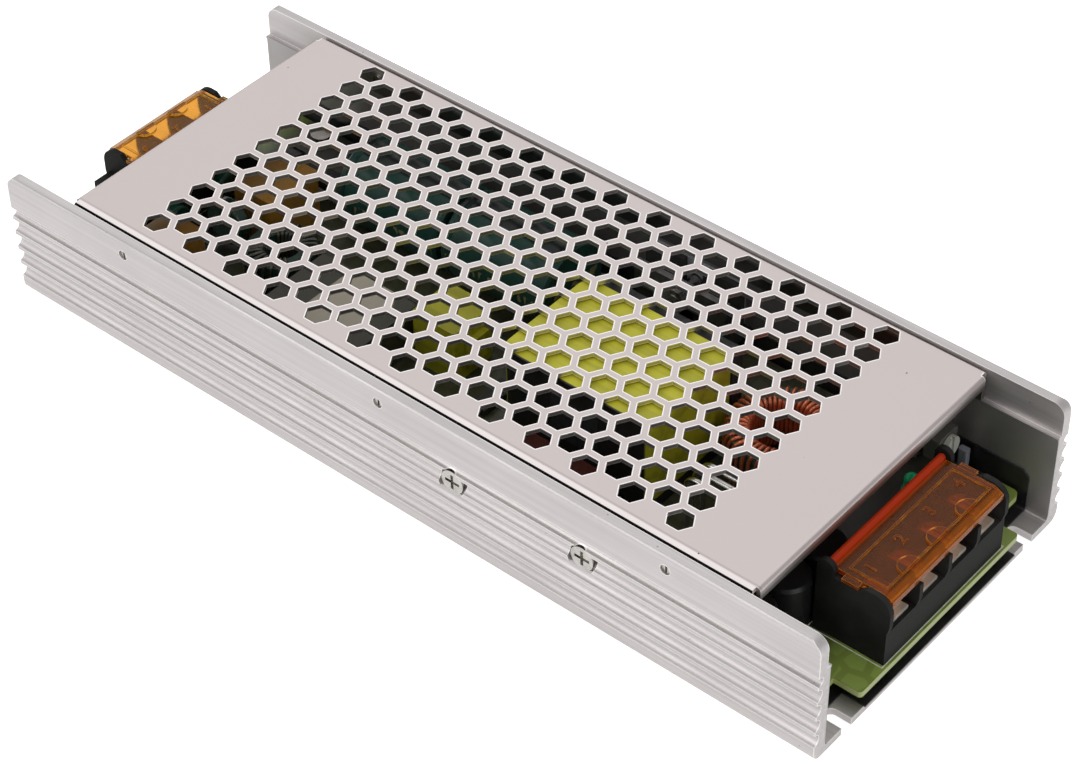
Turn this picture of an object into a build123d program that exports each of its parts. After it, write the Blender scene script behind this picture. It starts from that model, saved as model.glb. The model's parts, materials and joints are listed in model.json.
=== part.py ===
from build123d import *
import os
from math import floor, sqrt

# Slim enclosed switching power supply for led displays.
# An aluminium channel carries a circuit board, with a barrier terminal block at each end,
# and a perforated sheet cover closes the middle.
# Millimetres. Origin at the bottom centre, +X to the output end, +Y to the far wall, +Z up.

# How far a cut runs past the face that it opens
cut_margin = 1.0

# Channel extrusion
channel_length = 212.0
channel_width = 82.0
channel_height = 31.5
base_thickness = 1.8
lower_wall = 3.5
upper_wall = 2.5
ledge_height = 23.9
ledge_lip_height = 0.7
ledge_lip_overhang = 0.2
wall_top_radius = 0.8
wall_end_radius = 2.8
bottom_corner_radius = 2.2
inner_corner_radius = 0.6

# Ridges along the outside of each wall
ridge_count = 5
ridge_pitch = 4.1
ridge_tip = 0.9
top_ridge_height = 20.2
flat_band_bottom = 22.9
scallop_depth = 1.3

# Open mounting slots at the four corners of the base
slot_width = 3.2
slot_depth = 5.0
slot_wall_gap = 6.9

# Perforated cover
cover_over_block = 0.2
cover_sheet = 1.0
cover_wall_gap = 0.3
cover_below_wall_top = 0.3
cover_bend_radius = 0.9
cover_lip_depth = 2.8
cover_relief = 1.8
hex_pitch = 6.6
hex_across_flats = 5.05
hex_shift_x = -1.5
hex_shift_y = 1.5
hex_side_margin = 1.0
hex_end_margin = 17.0

# Cover screws, slotted grub screws through the upper walls
cover_screw_radius = 1.1
cover_screw_pitch = 71.0
cover_screw_above_middle = 0.45
cover_screw_recess = 0.4
cover_screw_reach = 0.5
screw_slot_width = 0.5
screw_slot_depth = 0.6
screw_fit = 0.05

# Insulating sheet
sheet_thickness = 0.4
sheet_bend_radius = 1.0
sheet_wall_height = 12.0
sheet_slot_gap = 3.8
sheet_overhang = 0.4
sheet_corner_cut = 1.5
sheet_hole_clearance = 0.4

# Circuit board and its standoffs
board_thickness = 1.6
standoff_height = 3.2
standoff_radius = 2.6
standoff_shank_radius = 1.7
standoff_shank_depth = 1.35
standoff_bore_radius = 1.3
standoff_bore_depth = 2.8
board_edge_gap = 1.0
board_slot_gap = 2.5
board_slot_end_gap = 1.2
board_corner_radius = 1.5
board_tongue_radius = 0.8
board_screw_head_radius = 2.4
board_screw_head_height = 1.8
board_hole_clearance = 0.3
board_screw_inset = 3.7
board_screw_input_inset = 20.0
board_screw_near_middle_x = -2.0
board_screw_far_middle_x = -4.0
board_screw_near_output_inset = 40.0
board_screw_far_output_inset = 30.0

# Clamp screws through the lower walls and the power devices that they hold
clamp_height = 17.5
near_clamp_x = (18.4, 50.9)
far_clamp_x = (18.4,)
pocket_radius = 3.3
pocket_floor = 1.4
clamp_screw_radius = 1.5
clamp_head_radius = 2.75
clamp_head_height = 1.6
clamp_recess_width = 0.7
clamp_recess_arm = 1.8
clamp_recess_depth = 0.9
clamp_nut_flats = 5.5
clamp_nut_height = 2.4
clamp_screw_end = 0.2
clamp_bar_length = 24.0
clamp_bar_height = 6.0
clamp_bar_thickness = 1.5
pad_thickness = 0.5
pad_gap = 0.3
device_spacing = 15.0
device_width = 10.0
device_tab = 1.3
device_body = 4.3
device_bottom = 8.2
device_body_height = 9.0
device_ledge_gap = 0.4
lead_width = 0.8
lead_thickness = 0.5
lead_pitch = 2.54

# Terminal blocks, the same profile at both ends
pole_pitch = 9.6
output_poles = 4
input_poles = 3
output_block_y = 1.4
input_block_y = 0.6
block_inset = 0.7
block_depth = 16.3
block_back_wall = 5.2
block_floor_rise = 8.4
block_back_rise = 15.0
barrier_wall = 1.2
barrier_nose = 0.5
barrier_nose_rise = 10.2
barrier_round = 3.8
barrier_top_rise = 17.0
barrier_saddle_rise = 15.6
barrier_hump_length = 1.8
barrier_ramp_length = 1.6
inner_barrier_rise = 15.2
inner_barrier_front_rise = 14.0
input_lug_width = 4.6
input_lug_rise = 10.6
input_lug_inset = 0.8
input_lug_depth = 12.0
contact_thickness = 0.8
contact_width = 5.8
contact_inset = 0.9
contact_gap = 0.2
washer_thickness = 0.7
washer_length = 7.0
washer_width = 5.6
terminal_screw_inset = 6.3
terminal_screw_radius = 1.7
terminal_screw_length = 6.5
terminal_head_radius = 3.0
terminal_head_height = 1.9
terminal_slot_width = 1.0

# Hinged covers over the terminal blocks
rod_setback = 14.3
rod_rise = 16.9
rod_radius = 0.9
rod_ear_radius = 1.9
rod_pin_radius = 0.6
rod_pin_length = 0.7
rod_pin_fit = 0.05
rod_pin_end_gap = 0.2
lid_side_gap = 0.3
lid_front_setback = 0.1
lid_thickness = 1.0
lid_top_below_rod = 0.2
lid_slope_length = 2.0
lid_slope_drop = 1.0
lid_skirt_drop = 2.3
lid_rim_width = 0.4
lid_rim_height = 0.25
lid_rim_back = 3.3
lid_rim_front = 2.2
lid_rim_end = 1.3
lid_dome_radius = 2.6
lid_dome_height = 0.6
lid_tab_start = 3.6
lid_tab_length = 3.8
lid_tab_thickness = 0.7
lid_tab_gap = 0.2

# Main transformer
transformer_x = 28.0
transformer_y = 0.5
transformer_length = 38.0
transformer_width = 31.0
transformer_cover_gap = 0.4
transformer_bobbin_height = 3.0
transformer_core_plate = 3.5
transformer_core_inset = 1.0
transformer_foot_length = 6.3
transformer_leg_width = 12.0
transformer_leg_height = 11.0
transformer_leg_fit = 0.05
transformer_corner = 3.0

# Standby transformer
standby_x = -13.6
standby_y = -4.0
standby_length = 12.0
standby_width = 12.0
standby_rise = 13.4
standby_corner = 1.0
standby_core_width = 6.0
standby_core_height = 6.0
standby_core_overhang = 1.5

# Output inductor: turns of wire round a ring core
inductor_x = 60.0
inductor_y = 11.0
inductor_inner_radius = 7.0
inductor_outer_radius = 11.2
inductor_core_height = 11.4
inductor_turns = 22
inductor_wire = 1.2

# Line filter choke: two windings round a ring core
choke_x = -57.5
choke_y = -9.0
choke_inner_radius = 4.2
choke_outer_radius = 7.6
choke_core_height = 9.0
choke_turns_per_side = 7
choke_wire = 0.8
choke_turn_angle = 19.0
ring_base_gap = 0.3
ring_wire_gap = 0.1

# Capacitors
line_capacitor_height = 13.4
line_capacitor_x = (-72.0, -76.5)
line_capacitor_length = (12.0, 11.0)
line_capacitor_width = (15.0, 14.0)
line_capacitor_middle_y = 4.5
line_capacitor_wall_gap = 5.5
line_capacitor_corner = 1.0
bulk_cover_gap = 3.4
bulk_length = 28.6
bulk_gap = 1.4
bulk_start_x = -59.6
bulk_wall_gap = 7.5
bulk_board_gap = 0.2
output_capacitor_radius = 5.0
output_capacitor_height = 12.0
output_capacitor_pitch = 11.0
output_capacitor_columns = 2
output_capacitor_rows = 3
output_capacitor_step_x = 10.2
output_capacitor_block_gap = 0.4
output_capacitor_wall_gap = 1.5
crimp_depth = 0.5
crimp_width = 1.2
crimp_start = 1.4
can_edge = 0.6
film_capacitor_x = (23.0, 35.0)
film_capacitor_length = 9.0
film_capacitor_width = 5.5
film_capacitor_corner = 2.2
film_capacitor_height = 10.0
disc_lead_length = 2.0
earth_capacitor_block_gap = 1.1
earth_capacitor_y = (-12.5, 3.0)
earth_capacitor_radius = 3.4
earth_capacitor_thickness = 3.0

# Discs on the mains side
thermistor_x = -75.0
thermistor_y = -7.5
thermistor_radius = 5.5
thermistor_thickness = 3.6
varistor_x = -67.4
varistor_wall_gap = 8.0
varistor_radius = 5.0
varistor_thickness = 3.8

# Fuse and its clips
fuse_x = -74.0
fuse_capacitor_gap = 3.95
fuse_length = 20.0
fuse_radius = 2.6
fuse_cap_step = 0.2
fuse_clip_length = 4.5
fuse_clip_wall = 0.4
fuse_clip_fit = 0.05
fuse_clip_opening = 4.6
fuse_rise = 4.4

# Other pieces on the board
relay_x = -34.75
relay_wall_gap = 11.5
relay_length = 26.5
relay_width = 20.0
relay_height = 11.4
relay_corner = 0.8
bridge_x = -55.0
bridge_wall_gap = 2.9
bridge_length = 22.0
bridge_thickness = 3.4
bridge_height = 14.5
bridge_leads = 4
bridge_lead_length = 1.6
bridge_lead_pitch = 5.0
bridge_corner = 3.0
optocoupler_x = (-14.0, -5.0)
optocoupler_wall_gap = 10.3
optocoupler_length = 4.6
optocoupler_width = 6.4
optocoupler_height = 3.5
chip_x = 1.4
chip_y = (-9.0, 4.0)
chip_length = 4.0
chip_width = 9.9
chip_height = 1.7
link_x = 60.0
link_y = -9.5
link_span = 12.0
link_pitch = 2.6
link_count = 3
link_rise = 12.8
link_wire_radius = 0.7
link_bend_radius = 2.2

# Voltage trimmer, adjusted from the output end
trimmer_block_gap = 4.0
trimmer_wall_gap = 2.3
trimmer_rise = 7.4
trimmer_side = 6.6
trimmer_depth = 3.4
trimmer_corner = 1.0
rotor_radius = 2.5
rotor_stub_radius = 1.6
rotor_stub_length = 1.5
rotor_thickness = 1.1
rotor_face_gap = 0.1
rotor_fit = 0.05
rotor_slot_width = 0.8
rotor_slot_depth = 0.6

# Indicator led and the small capacitor beside the trimmer
led_setback = 1.0
led_to_trimmer = 10.9
led_radius = 1.5
led_flange_radius = 1.9
led_flange_height = 0.8
led_lead_length = 2.0
led_body_height = 5.0
sense_capacitor_ahead = 1.9
sense_capacitor_wall_gap = 1.35
sense_capacitor_length = 2.2
sense_capacitor_width = 1.5
sense_capacitor_height = 4.0
sense_capacitor_corner = 0.4
sense_capacitor_lead = 1.0

# Heights and faces that several pieces share
inner_face = channel_width / 2 - lower_wall
upper_inner_face = channel_width / 2 - upper_wall
board_bottom = base_thickness + standoff_height
board_top = board_bottom + board_thickness
slot_centre_y = inner_face - slot_wall_gap
slot_inner_edge = slot_centre_y - slot_width / 2
board_wide_length = channel_length - 2 * (slot_depth + board_slot_end_gap)
board_tongue_width = 2 * (slot_inner_edge - board_slot_gap)
sheet_tongue_width = 2 * (slot_inner_edge - sheet_slot_gap)
block_front = channel_length / 2 - block_inset
block_back = block_front - block_depth
cover_top = channel_height - cover_below_wall_top
cover_under = cover_top - cover_sheet
cover_width = 2 * (upper_inner_face - cover_wall_gap)
cover_length = 2 * (block_back + cover_over_block)
cover_screw_height = (ledge_height + cover_top) / 2 + cover_screw_above_middle
floor_top = board_top + block_floor_rise
rod_x = block_front - rod_setback
rod_z = board_top + rod_rise
terminal_screw_x = block_front - terminal_screw_inset
device_top = ledge_height - ledge_lip_height - device_ledge_gap
device_back = inner_face - pad_thickness
device_front = device_back - device_body
clamp_nut_seat = device_front - clamp_bar_thickness
clamp_screw_tip = clamp_nut_seat - clamp_nut_height - clamp_screw_end
transformer_near_side = transformer_y - transformer_width / 2
transformer_far_side = transformer_y + transformer_width / 2
transformer_top = cover_under - transformer_cover_gap
bulk_radius = (cover_under - bulk_cover_gap - board_top - bulk_board_gap) / 2
bulk_y = inner_face - bulk_wall_gap - bulk_radius
film_capacitor_y = (transformer_near_side - clamp_screw_tip) / 2
earth_capacitor_x = earth_capacitor_block_gap + earth_capacitor_thickness / 2 - block_back
varistor_y = varistor_wall_gap + varistor_radius - inner_face
fuse_clip_radius = fuse_radius + fuse_clip_fit + fuse_clip_wall
fuse_y = line_capacitor_middle_y + line_capacitor_width[0] / 2 + fuse_capacitor_gap + fuse_clip_radius
relay_y = relay_wall_gap + relay_width / 2 - inner_face
bridge_y = bridge_wall_gap + bridge_thickness / 2 - inner_face
optocoupler_y = optocoupler_wall_gap + optocoupler_width / 2 - inner_face
trimmer_x = block_back - trimmer_block_gap
trimmer_y = inner_face - trimmer_wall_gap - trimmer_side / 2
trimmer_z = board_top + trimmer_rise
led_x = trimmer_x - led_setback
led_y = trimmer_y - led_to_trimmer
sense_capacitor_x = trimmer_x + sense_capacitor_ahead
sense_capacitor_y = inner_face - sense_capacitor_wall_gap - sense_capacitor_width / 2


def cuboid(x0, x1, y0, y1, z0, z1):
    """Box between two corners."""
    return Pos((x0 + x1) / 2, (y0 + y1) / 2, (z0 + z1) / 2) * Box(x1 - x0, y1 - y0, z1 - z0)


def block_at(x, y, length, width, z0, z1, corner=0.0):
    """Upright block on a centre, with rounded vertical edges where corner is more than nothing."""
    outline = RectangleRounded(length, width, corner) if corner > 0 else Rectangle(length, width)
    return extrude(Pos(x, y, z0) * outline, z1 - z0)


def along_y(section, y, width):
    """Extrude a section drawn in X and Z over a width centred on y."""
    return Pos(0, y, 0) * extrude(Plane.XZ * section, width / 2, both=True)


def rod_along_x(x0, x1, y, z, radius):
    """Round bar along X."""
    return Pos((x0 + x1) / 2, y, z) * Rot(0, 90, 0) * Cylinder(radius, x1 - x0)


def rod_along_y(x, y0, y1, z, radius):
    """Round bar along Y."""
    return Pos(x, (y0 + y1) / 2, z) * Rot(90, 0, 0) * Cylinder(radius, abs(y1 - y0))


def upright(x, y, z0, z1, radius):
    """Round bar along Z."""
    return Pos(x, y, (z0 + z1) / 2) * Cylinder(radius, z1 - z0)


def board_screw_places():
    """Centres of the board screws, in from the board's long edges."""
    edge = inner_face - board_edge_gap - board_screw_inset
    end = channel_length / 2
    input_x = board_screw_input_inset - end
    near = (input_x, board_screw_near_middle_x, end - board_screw_near_output_inset)
    far = (input_x, board_screw_far_middle_x, end - board_screw_far_output_inset)
    return [(x, -edge) for x in near] + [(x, edge) for x in far]


def cover_screw_places():
    """Position along X and wall side of each cover screw."""
    return [(i * cover_screw_pitch, side) for i in (-1, 0, 1) for side in (-1, 1)]


def clamp_places():
    """Position along X and wall side of each clamp screw."""
    return [(x, -1) for x in near_clamp_x] + [(x, 1) for x in far_clamp_x]


def channel_section():
    """Half section of the extrusion in Y and Z: base, ribbed outside, ledge and upper wall inside."""
    outer = channel_width / 2
    r = bottom_corner_radius
    k = 1 - 1 / sqrt(2)
    lines = [Line((0, 0), (outer - r, 0))]
    lines.append(ThreePointArc((outer - r, 0), (outer - r * k, r * k), (outer, r)))
    z = r
    for i in range(ridge_count - 1, -1, -1):
        tip_top = top_ridge_height - i * ridge_pitch + ridge_tip / 2
        next_edge = tip_top + ridge_pitch - ridge_tip if i > 0 else flat_band_bottom
        lines.append(Line((outer, z), (outer, tip_top)))
        valley = (outer - scallop_depth, (tip_top + next_edge) / 2)
        lines.append(ThreePointArc((outer, tip_top), valley, (outer, next_edge)))
        z = next_edge
    t = wall_top_radius
    top = channel_height
    lines.append(Line((outer, z), (outer, top - t)))
    lines.append(ThreePointArc((outer, top - t), (outer - t * k, top - t * k), (outer - t, top)))
    lip = inner_face - ledge_lip_overhang
    c = inner_corner_radius
    lines.append(
        Polyline(
            (outer - t, top),
            (upper_inner_face, top),
            (upper_inner_face, ledge_height),
            (lip, ledge_height),
            (lip, ledge_height - ledge_lip_height),
            (inner_face, ledge_height - ledge_lip_height),
            (inner_face, base_thickness + c),
        )
    )
    b = base_thickness
    lines.append(
        ThreePointArc((inner_face, b + c), (inner_face - c * k, b + c * k), (inner_face - c, b))
    )
    lines.append(Polyline((inner_face - c, b), (0, b), (0, 0)))
    return make_face(lines)


def channel_housing():
    """Ribbed open channel with end slots, cover screw holes and clamp screw pockets."""
    half = channel_section()
    section = half + mirror(half, Plane.YZ)
    body = extrude(Plane.YZ * section, channel_length / 2, both=True)
    side = Pos(0, channel_height / 2) * Rectangle(channel_length, channel_height)
    side = fillet(side.vertices().group_by(Axis.Y)[-1], wall_end_radius)
    body = body & along_y(side, 0, channel_width)
    end = channel_length / 2
    straight = slot_depth - slot_width / 2
    half_slot = slot_width / 2
    z0 = -cut_margin
    z1 = base_thickness + cut_margin
    for sx in (-1, 1):
        for sy in (-1, 1):
            y = sy * slot_centre_y
            x = sx * (end - straight)
            body -= upright(x, y, z0, z1, half_slot)
            span = sorted((x, sx * (end + cut_margin)))
            body -= cuboid(span[0], span[1], y - half_slot, y + half_slot, z0, z1)
    outer = channel_width / 2
    for x, side_sign in cover_screw_places():
        y0 = side_sign * (upper_inner_face - cut_margin)
        hole = cover_screw_radius + screw_fit
        body -= rod_along_y(x, y0, side_sign * (outer + cut_margin), cover_screw_height, hole)
    for x, side_sign in clamp_places():
        floor_y = side_sign * (inner_face + pocket_floor)
        body -= rod_along_y(x, floor_y, side_sign * (outer + cut_margin), clamp_height, pocket_radius)
        hole = clamp_screw_radius + screw_fit
        body -= rod_along_y(x, side_sign * (inner_face - cut_margin), floor_y, clamp_height, hole)
    for x, y in board_screw_places():
        body -= upright(x, y, z0, z1, standoff_shank_radius + screw_fit)
    return body


def hex_places():
    """Centres of the hexagons: columns along X, every second column half a pitch across."""
    step = hex_pitch * sqrt(3) / 2
    reach_x = cover_length / 2 - abs(hex_shift_x) - hex_end_margin
    reach_y = cover_width / 2 - abs(hex_shift_y) - hex_side_margin - hex_across_flats / 2
    columns = floor(reach_x / step)
    rows = floor(reach_y / hex_pitch)
    places = []
    for i in range(-columns, columns + 1):
        odd = (i + columns) % 2
        for j in range(-rows, rows + 1 - odd):
            places.append((hex_shift_x + i * step, hex_shift_y + (j + odd / 2) * hex_pitch))
    return places


def bent_strip(edge, top, bottom, sheet, radius):
    """Section of a sheet bent down at its edge, with the outside of the bend rounded."""
    k = radius * (1 - 1 / sqrt(2))
    lines = [
        Line((edge - sheet, top), (edge - radius, top)),
        ThreePointArc((edge - radius, top), (edge - k, top - k), (edge, top - radius)),
        Polyline((edge, top - radius), (edge, bottom), (edge - sheet, bottom), (edge - sheet, top)),
    ]
    return make_face(lines)


def perforated_cover():
    """Folded sheet: side flanges down to the ledge, short end lips, a field of hexagonal holes."""
    w = cover_width
    end = cover_length / 2
    r = cover_bend_radius
    x1 = end - cover_sheet
    y1 = w / 2 - cover_sheet
    plate = cuboid(-x1, x1, -y1, y1, cover_under, cover_top)
    flange = bent_strip(w / 2, cover_top, ledge_height, cover_sheet, r)
    flange = extrude(Plane.YZ * flange, x1, both=True)
    lip = bent_strip(end, cover_top, cover_top - cover_lip_depth, cover_sheet, r)
    lip = along_y(lip, 0, w - 2 * cover_relief)
    body = plate + flange + mirror(flange, Plane.XZ) + lip + mirror(lip, Plane.YZ)
    for x, side_sign in cover_screw_places():
        hole = cover_screw_radius + screw_fit
        y0 = side_sign * (w / 2 - 2 * cover_sheet)
        body -= rod_along_y(x, y0, side_sign * (w / 2 + cut_margin), cover_screw_height, hole)
    hexagon = Pos(0, 0, cover_under - cut_margin) * RegularPolygon(hex_across_flats / 2, 6, major_radius=False)
    punch = extrude(hexagon, cover_sheet + 2 * cut_margin)
    return body - [Pos(x, y, 0) * punch for x, y in hex_places()]


def cover_screws():
    """Slotted grub screws, just below the face of the wall and through the cover's flange."""
    screws = []
    outer = channel_width / 2 - cover_screw_recess
    inner = cover_width / 2 - cover_sheet - cover_screw_reach
    z = cover_screw_height
    z0 = z - 2 * cover_screw_radius
    z1 = z + 2 * cover_screw_radius
    for x, side_sign in cover_screw_places():
        screw = rod_along_y(x, side_sign * inner, side_sign * outer, z, cover_screw_radius)
        cut = sorted((side_sign * (outer - screw_slot_depth), side_sign * (outer + cut_margin)))
        half_slot = screw_slot_width / 2
        screws.append(screw - cuboid(x - half_slot, x + half_slot, cut[0], cut[1], z0, z1))
    return screws


def clamp_screws():
    """Pan head screws from outside, through the wall, pad and bar to the nut."""
    screws = []
    z = clamp_height
    seat = inner_face + pocket_floor
    face = seat + clamp_head_height
    arm = clamp_recess_arm
    half_cut = clamp_recess_width / 2
    for x, side_sign in clamp_places():
        shank = rod_along_y(x, side_sign * clamp_screw_tip, side_sign * seat, z, clamp_screw_radius)
        head = rod_along_y(x, side_sign * seat, side_sign * face, z, clamp_head_radius)
        cut = sorted((side_sign * (face - clamp_recess_depth), side_sign * (face + cut_margin)))
        cross = cuboid(x - arm, x + arm, cut[0], cut[1], z - half_cut, z + half_cut)
        cross += cuboid(x - half_cut, x + half_cut, cut[0], cut[1], z - arm, z + arm)
        screws.append(shank + head - cross)
    return screws


def clamp_nuts():
    """Hexagon nuts on the inside of the clamp bars."""
    nuts = []
    flats = RegularPolygon(clamp_nut_flats / 2, 6, major_radius=False)
    flats -= Circle(clamp_screw_radius + screw_fit)
    for x, side_sign in clamp_places():
        middle = side_sign * (clamp_nut_seat - clamp_nut_height / 2)
        nut = Rot(90, 0, 0) * extrude(flats, clamp_nut_height / 2, both=True)
        nuts.append(Pos(x, middle, clamp_height) * nut)
    return nuts


def clamp_bars():
    """Flat steel bars that press two power devices against the wall."""
    bars = []
    half = clamp_bar_length / 2
    z0 = clamp_height - clamp_bar_height / 2
    z1 = clamp_height + clamp_bar_height / 2
    for x, side_sign in clamp_places():
        faces = sorted((side_sign * clamp_nut_seat, side_sign * device_front))
        bar = cuboid(x - half, x + half, faces[0], faces[1], z0, z1)
        y0 = faces[0] - cut_margin
        y1 = faces[1] + cut_margin
        hole = rod_along_y(x, y0, y1, clamp_height, clamp_screw_radius + screw_fit)
        bars.append(bar - hole)
    return bars


def thermal_pads():
    """Pads between the power devices and the wall, above the insulating sheet."""
    pads = []
    for x, side_sign in clamp_places():
        faces = sorted((side_sign * device_back, side_sign * inner_face))
        half = clamp_bar_length / 2 + pad_gap
        pad = cuboid(x - half, x + half, faces[0], faces[1], sheet_wall_height + pad_gap, device_top)
        y0 = faces[0] - cut_margin
        y1 = faces[1] + cut_margin
        hole = rod_along_y(x, y0, y1, clamp_height, clamp_screw_radius + pad_gap)
        pads.append(pad - hole)
    return pads


def power_device(x, side_sign):
    """Power package upright against a wall: metal tab, moulded body and three leads."""
    half = device_width / 2
    tab = sorted((side_sign * device_back, side_sign * (device_back - device_tab)))
    body = sorted((side_sign * device_back, side_sign * device_front))
    solid = cuboid(x - half, x + half, tab[0], tab[1], device_bottom, device_top)
    body_top = device_bottom + device_body_height
    solid += cuboid(x - half, x + half, body[0], body[1], device_bottom, body_top)
    lead_y = side_sign * (device_back - device_body / 2)
    for i in (-1, 0, 1):
        lead_x = x + i * lead_pitch
        solid += block_at(lead_x, lead_y, lead_width, lead_thickness, board_top, device_bottom)
    return solid


def power_devices(side_sign):
    """All devices on one wall, two to a clamp screw."""
    devices = []
    for x, place_side in clamp_places():
        if place_side == side_sign:
            for i in (-1, 1):
                devices.append(power_device(x + i * device_spacing / 2, side_sign))
    return devices


def insulating_sheet():
    """Thin sheet on the base, folded up both walls, with a tongue out at each end."""
    height = sheet_wall_height - base_thickness
    outer = Pos(0, base_thickness + height / 2) * Rectangle(2 * inner_face, height)
    outer = fillet(outer.vertices().group_by(Axis.Y)[0], sheet_bend_radius)
    lift = base_thickness + sheet_thickness
    inner_height = sheet_wall_height - lift
    inner = Pos(0, lift + inner_height / 2) * Rectangle(2 * (inner_face - sheet_thickness), inner_height)
    inner = fillet(inner.vertices().group_by(Axis.Y)[0], sheet_bend_radius - sheet_thickness)
    half_length = channel_length / 2 - slot_depth
    body = extrude(Plane.YZ * (outer - inner), half_length, both=True)
    side = Pos(0, base_thickness + height / 2) * Rectangle(2 * half_length, height)
    side = chamfer(side.vertices().group_by(Axis.Y)[-1], sheet_corner_cut)
    body = body & along_y(side, 0, channel_width)
    tongue_length = channel_length + 2 * sheet_overhang
    body += block_at(0, 0, tongue_length, sheet_tongue_width, base_thickness, lift)
    for x, y in board_screw_places():
        body -= upright(x, y, 0, lift + cut_margin, standoff_radius + sheet_hole_clearance)
    return body


def circuit_board():
    """Board with a narrower tongue at each end, clear of the mounting slots."""
    wide = RectangleRounded(board_wide_length, 2 * (inner_face - board_edge_gap), board_corner_radius)
    tongue = RectangleRounded(channel_length, board_tongue_width, board_tongue_radius)
    body = extrude(Pos(0, 0, board_bottom) * (wide + tongue), board_thickness)
    for x, y in board_screw_places():
        body -= upright(x, y, 0, board_top + cut_margin, standoff_bore_radius + board_hole_clearance)
    return body


def board_standoffs():
    """Round standoffs pressed into the base, bored for the board screws."""
    studs = []
    for x, y in board_screw_places():
        stud = upright(x, y, base_thickness, board_bottom, standoff_radius)
        foot = base_thickness - standoff_shank_depth
        stud += upright(x, y, foot, base_thickness, standoff_shank_radius)
        bore_bottom = board_bottom - standoff_bore_depth
        stud -= upright(x, y, bore_bottom, board_bottom + cut_margin, standoff_bore_radius)
        studs.append(stud)
    return studs


def board_screws():
    """Pan head screws down through the board into the standoffs."""
    screws = []
    for x, y in board_screw_places():
        head = upright(x, y, board_top, board_top + board_screw_head_height, board_screw_head_radius)
        bottom = board_bottom - standoff_bore_depth + screw_fit
        screws.append(head + upright(x, y, bottom, board_top, standoff_bore_radius - screw_fit))
    return screws


def barrier_section():
    """Side view of an end barrier: back edge, saddle under the lid's tab, hump and rounded nose."""
    nose_x = block_front + barrier_nose
    nose_z = board_top + barrier_nose_rise
    top = board_top + barrier_top_rise
    saddle = board_top + barrier_saddle_rise
    round_x = nose_x - barrier_round
    k = barrier_round / sqrt(2)
    hump_x = round_x - barrier_hump_length
    lines = [
        Polyline(
            (block_back, board_top),
            (block_front, board_top),
            (block_front, floor_top),
            (nose_x, nose_z),
            (nose_x, top - barrier_round),
        ),
        ThreePointArc(
            (nose_x, top - barrier_round),
            (round_x + k, top - barrier_round + k),
            (round_x, top),
        ),
        Polyline(
            (round_x, top),
            (hump_x, top),
            (hump_x - barrier_ramp_length, saddle),
            (block_back, saddle),
            (block_back, board_top),
        ),
    ]
    face = make_face(lines)
    ear = Pos(rod_x, rod_z) * Circle(rod_ear_radius)
    web_height = rod_z - saddle
    ear += Pos(rod_x, saddle + web_height / 2) * Rectangle(2 * rod_ear_radius, web_height)
    return face + ear


def inner_barrier_section():
    """Side view of a barrier between poles, cut down to pass under the lid and its skirt."""
    low_length = block_depth + barrier_nose
    low_x = block_back + low_length / 2
    low = Rectangle(low_length, inner_barrier_front_rise)
    low = Pos(low_x, board_top + inner_barrier_front_rise / 2) * low
    skirt_back = block_front - lid_front_setback - lid_thickness - 2 * lid_side_gap
    high_length = skirt_back - block_back
    high_x = block_back + high_length / 2
    high = Rectangle(high_length, inner_barrier_rise)
    high = Pos(high_x, board_top + inner_barrier_rise / 2) * high
    return barrier_section() & (low + high)


def terminal_block(poles):
    """Moulded barrier block, outward along +X and centred on y = 0."""
    row = poles * pole_pitch + barrier_wall
    body_section = Polyline(
        (block_back, board_top),
        (block_front, board_top),
        (block_front, floor_top),
        (block_back + block_back_wall, floor_top),
        (block_back + block_back_wall, board_top + block_back_rise),
        (block_back, board_top + block_back_rise),
        close=True,
    )
    body = along_y(make_face(body_section), 0, row)
    end_centre = (row - barrier_wall) / 2
    for i in range(poles + 1):
        y = -end_centre + i * pole_pitch
        section = barrier_section() if i in (0, poles) else inner_barrier_section()
        body += along_y(section, y, barrier_wall)
    face_y = row / 2 - barrier_wall
    deep = face_y + rod_pin_length - lid_side_gap + rod_pin_end_gap
    socket = rod_pin_radius + rod_pin_fit
    for side_sign in (-1, 1):
        body -= rod_along_y(rod_x, side_sign * (face_y - cut_margin), side_sign * deep, rod_z, socket)
    bottom = floor_top + contact_thickness + washer_thickness - terminal_screw_length - screw_fit
    bore = terminal_screw_radius + screw_fit
    for y in pole_centres(poles):
        body -= upright(terminal_screw_x, y, bottom, floor_top + cut_margin, bore)
    return body


def pole_centres(poles):
    """Centres of the wire compartments across the block."""
    return [(i - (poles - 1) / 2) * pole_pitch for i in range(poles)]


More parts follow.
